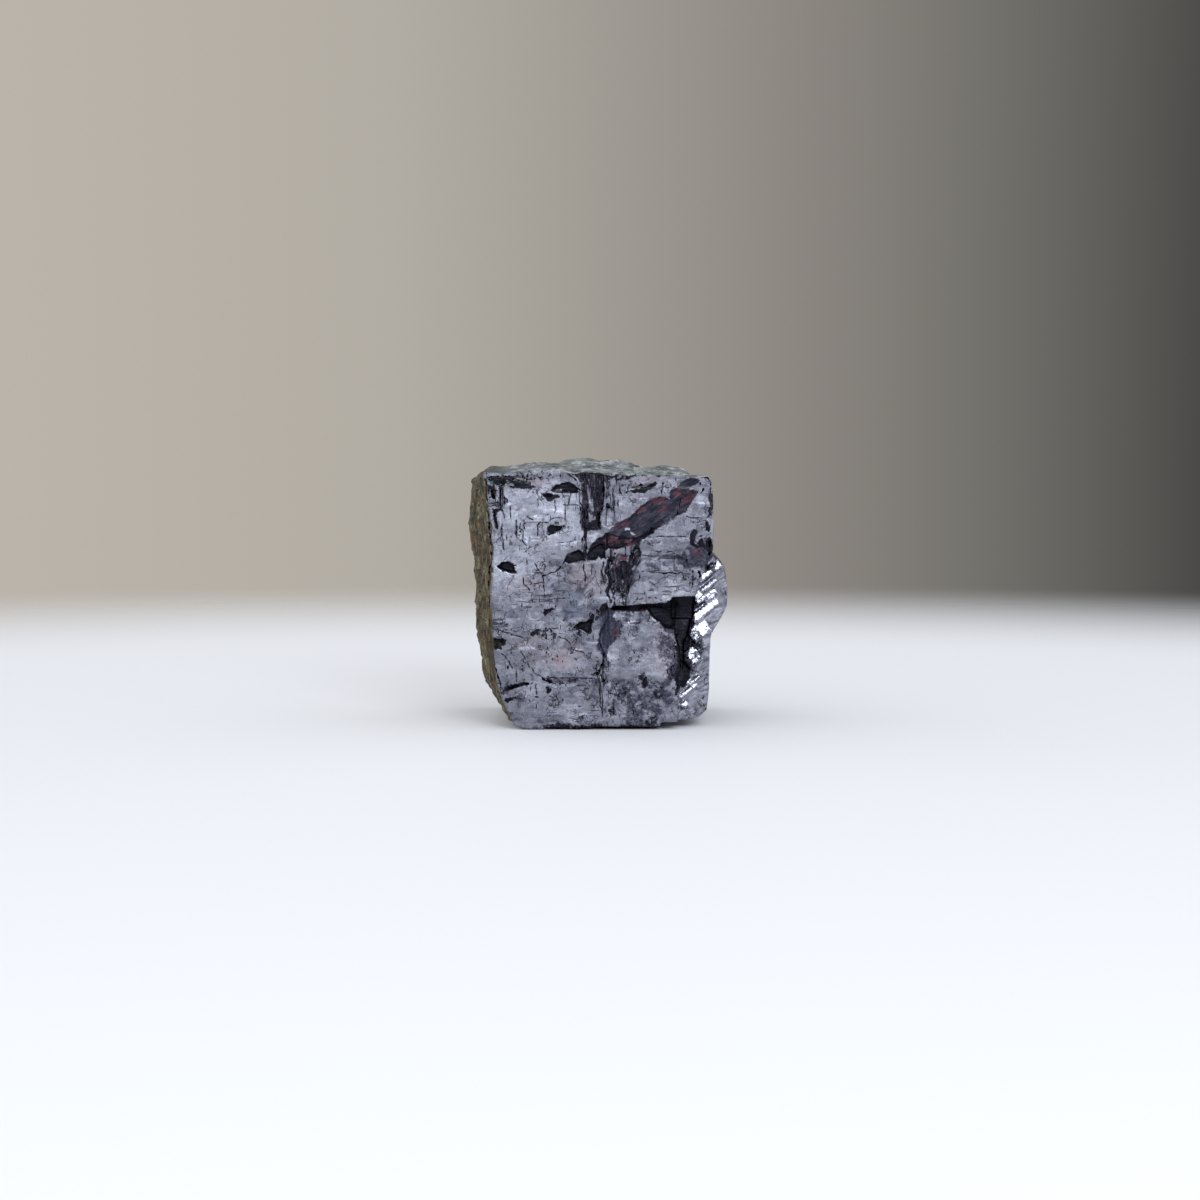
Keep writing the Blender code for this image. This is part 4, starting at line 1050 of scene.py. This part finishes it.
def broken_up(grain, cover, bare):
    """Dark flecks of one grain, which cover as much of the face as the share asks for."""
    share = n.scaled(cover, COVERING, n.number("SUBTRACT", grain, bare))
    return n.step(share, -0.04, 0.05)


crumbs = broken_up(crumble, stained("crumbled", 0.5), 0.73)
flecks = n.most(broken_up(upright, stained("upright", 0.4), 0.74), crumbs)
level_flecks = broken_up(level, stained("level", 0.4), 0.74)
flecks = n.most(flecks, n.times(level_flecks, 0.6))
flecks = n.most(flecks, n.step(speckle, 0.66, 0.78, to_high=0.5))
flecks = n.most(flecks, n.times(layers["Hairlines"], 0.8))
# A dark margin along the cracks' lips: crumbs, and painted shade.
crack_shade = n.scaled(ragged, 0.5, n.painted("crack"))
flecks = n.most(flecks, n.step(crack_shade, 0.16, 0.0, to_high=0.5))
grit = n.scaled(upright, 0.6, n.times(speckle, 0.4))
fleck_tone = n.ramp(grit, (0.42, 12, 12, 22), (0.52, 28, 27, 36), (0.59, 58, 54, 62), (0.69, 122, 117, 122))
colour = n.darken(n.times(flecks, 0.9), colour, fleck_tone)

# The seam and the dark hollows have ragged edges.
seam = n.step(n.number("ADD", n.painted("seam"), ragged), 0.05, -0.07)
slate = n.ramp(fibres, (0.34, 30, 31, 43), (0.5, 46, 46, 58), (0.68, 70, 68, 80))
red = n.scaled(n.number("SUBTRACT", fibres, 0.5), 1.4, n.painted("red"))
red = n.scaled(n.number("SUBTRACT", crumble, 0.5), 2.2, red)
red = n.step(red, 0.38, 0.90)
iron = n.ramp(fibres, (0.36, 36, 24, 33), (0.50, 68, 42, 53), (0.66, 96, 62, 74))
# Light specks in the seam: painted glints.
slate = n.blend(n.step(speckle, 0.62, 0.72, to_high=0.7), slate, shade(118, 118, 130))
colour = n.darken(seam, colour, slate)
# Pits and hollows are painted near black as the shade in them.
dark = n.step(n.number("ADD", n.painted("dark"), ragged), 0.12, 0.00)
hollow_shade = n.scaled(level, 0.6, n.times(speckle, 0.4))
hollow_shade = n.ramp(hollow_shade, (0.48, 20, 20, 27), (0.58, 35, 35, 43), (0.68, 66, 66, 78))
colour = n.darken(dark, colour, hollow_shade)
frayed = n.scaled(n.cloud(place, 1.1, 5.0, 0.65), 2.2, -1.1)
patch = n.step(n.number("ADD", n.painted("slate"), frayed), 0.14, -0.14)
dusk = n.ramp(grit, (0.42, 30, 31, 44), (0.52, 50, 52, 66), (0.62, 72, 74, 90))
colour = n.darken(n.times(patch, 0.92), colour, dusk)
colour = n.darken(red, colour, iron)
# Where the painted lightness is strongest, in the pale patches of the seam, the colour is a pale grey.
colour = n.blend(n.step(n.painted("light"), 1.4, 2.2), colour, shade(152, 155, 168))
colour = n.blend(n.step(n.painted("green"), 0.3, 0.7), colour, shade(52, 96, 72))

# The rind: clay brown and olive, in stripes that run down the stone.
stripes = n.cloud(n.stretched(place, (2.2, 2.2, 0.7)), 1.0, 5.0, 0.68)
clay = n.ramp(stripes, (0.32, 20, 18, 16), (0.43, 52, 45, 32), (0.54, 86, 79, 54), (0.68, 136, 131, 104))
clay = n.darken(n.step(crumble, 0.53, 0.64), clay, shade(28, 25, 21))
clay = n.darken(n.step(drift, 0.50, 0.66, to_high=0.5), clay, shade(44, 40, 30))
rust = n.cloud(place, 0.8, 4.0, 0.6)
clay = n.blend(n.step(rust, 0.54, 0.66, to_high=0.6), clay, shade(100, 68, 42))
colour = n.blend(n.painted("rind"), colour, clay)
# The top: grey crust with a green cast and dark grains.
lumps = n.scaled(n.cloud(place, 0.7, 4.0, 0.6), 0.7, n.times(crumble, 0.3))
crust = n.ramp(lumps, (0.38, 48, 52, 56), (0.45, 92, 97, 100), (0.53, 132, 136, 139), (0.62, 186, 189, 191))
crust = n.blend(n.step(drift, 0.45, 0.6, to_high=0.45), crust, shade(112, 118, 108))
crust = n.blend(n.step(speckle, 0.57, 0.66, to_high=0.75), crust, shade(34, 37, 42))
crust = n.darken(n.step(sideways, -9.0, -12.5, to_high=0.6), crust, shade(58, 62, 54))
colour = n.blend(n.painted("top"), colour, crust)
n.link(colour, shader["Base Color"])

skin = n.most(n.painted("rind"), n.painted("top"))
dull = n.most(flecks, n.most(dark, red))
dull = n.most(dull, n.times(seam, 0.8))
metal = n.most(skin, n.times(red, 0.7))
metal = n.scaled(metal, -0.85, 0.85)
n.link(metal, shader["Metallic"])
gloss = n.scaled(tone, -0.10, 0.42)
gloss = n.scaled(n.painted("broken"), -0.22, gloss)
gloss = n.scaled(dull, 0.15, gloss)
gloss = n.scaled(skin, 0.25, gloss)
n.link(gloss, shader["Roughness"])
shader["Specular IOR Level"].default_value = 0.25

relief = n.scaled(crumble, 0.8, n.times(layers["Height"], 0.7))
relief = n.scaled(n.times(skin, 2.5), crumble, relief)
relief = n.scaled(n.times(seam, 0.7), fibres, relief)
relief = n.scaled(flecks, -0.6, relief)
relief = {"Height": relief, "Strength": 0.7, "Distance": 0.05 * MM, "Normal": layers["Normal"]}
n.link(n.add("ShaderNodeBump", relief).outputs[0], shader["Normal"])

# The walls of the cracks, nicks and chips are painted nearly black, as the shade inside them.
fissure.use_nodes = True
n = Paint(fissure.node_tree)
shader = n.tree.nodes["Principled BSDF"].inputs
grit = n.cloud(n.millimetres(), 4.0, 3.0, 0.6)
crack_shade = n.ramp(grit, (0.35, 10, 10, 18), (0.6, 24, 23, 34), (0.8, 46, 42, 46))
n.link(crack_shade, shader["Base Color"])
n.link(n.step(grit, 0.3, 0.7, 0.45, 0.75), shader["Roughness"])
shader["Specular IOR Level"].default_value = 0.1

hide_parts("galena_block")
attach(block, "root")

# --- Floor and light --------------------------------------------------------------------------------
# A pale table, which fades out into the room behind it. The room is a soft grey all round, darker
# towards the right, with one large lamp over the camera's right shoulder.

floor_mesh = bpy.data.meshes.new("floor")
floor_mesh.from_pydata([(-1, -1, 0), (1, -1, 0), (1, 1, 0), (-1, 1, 0)], [], [(0, 1, 2, 3)])
floor = bpy.data.objects.new("floor", floor_mesh)
scene.collection.objects.link(floor)
pale = bpy.data.materials.new("pale_floor")
pale.use_nodes = True
n = Paint(pale.node_tree)
shader = n.tree.nodes["Principled BSDF"].inputs
shader["Base Color"].default_value = (0.80, 0.81, 0.83, 1)
shader["Roughness"].default_value = 0.6
place = n.add("ShaderNodeTexCoord").outputs["Object"]
middle = n.vector("SUBTRACT", place, (0, -0.08, 0))
away = n.add("ShaderNodeVectorMath", {0: middle}, operation="LENGTH").outputs["Value"]
n.link(n.step(away, 0.17, 0.33, 1.0, 0.0), shader["Alpha"])
floor.data.materials.append(pale)

world = bpy.data.worlds.new("soft_room")
scene.world = world
world.use_nodes = True
n = Paint(world.node_tree)
background = n.tree.nodes["Background"].inputs
sideways, backwards, _ = n.apart(n.add("ShaderNodeTexCoord").outputs["Generated"])
across = n.between(sideways, 0.0, 1.0, -0.24, 0.24)
warm_greys = [(0.0, 169, 163, 155), (0.33, 161, 156, 148), (0.65, 128, 123, 118), (0.80, 106, 104, 99)]
behind = n.ramp(across, *warm_greys, (1.0, 64, 62, 61))
across = n.between(sideways, 0.0, 1.0, -1.0, 1.0)
room = [(0.0, 0.95, 0.96, 1.0), (0.5, 0.85, 0.87, 0.92), (1.0, 0.66, 0.67, 0.70)]
room = n.ramp(across, *room, given_as=light)
turned_away = n.step(backwards, 0.90, 0.40)
n.link(n.blend(turned_away, behind, room), background["Color"])
background["Strength"].default_value = 1.25

STONE_MIDDLE = Vector((0, 0, 0.015))
TO_SOFTBOX = Vector((0.30, -0.85, 0.43)).normalized()
SOFTBOX_AWAY = 0.55
softbox = bpy.data.objects.new("softbox", bpy.data.lights.new("softbox", "AREA"))
scene.collection.objects.link(softbox)
softbox.data.shape = "RECTANGLE"
softbox.data.size = 0.22
softbox.data.size_y = 0.18
softbox.data.energy = 1.1
softbox.data.color = (0.93, 0.96, 1.0)
softbox.location = STONE_MIDDLE + TO_SOFTBOX * SOFTBOX_AWAY
softbox.rotation_euler = TO_SOFTBOX.to_track_quat("Z", "Y").to_euler()
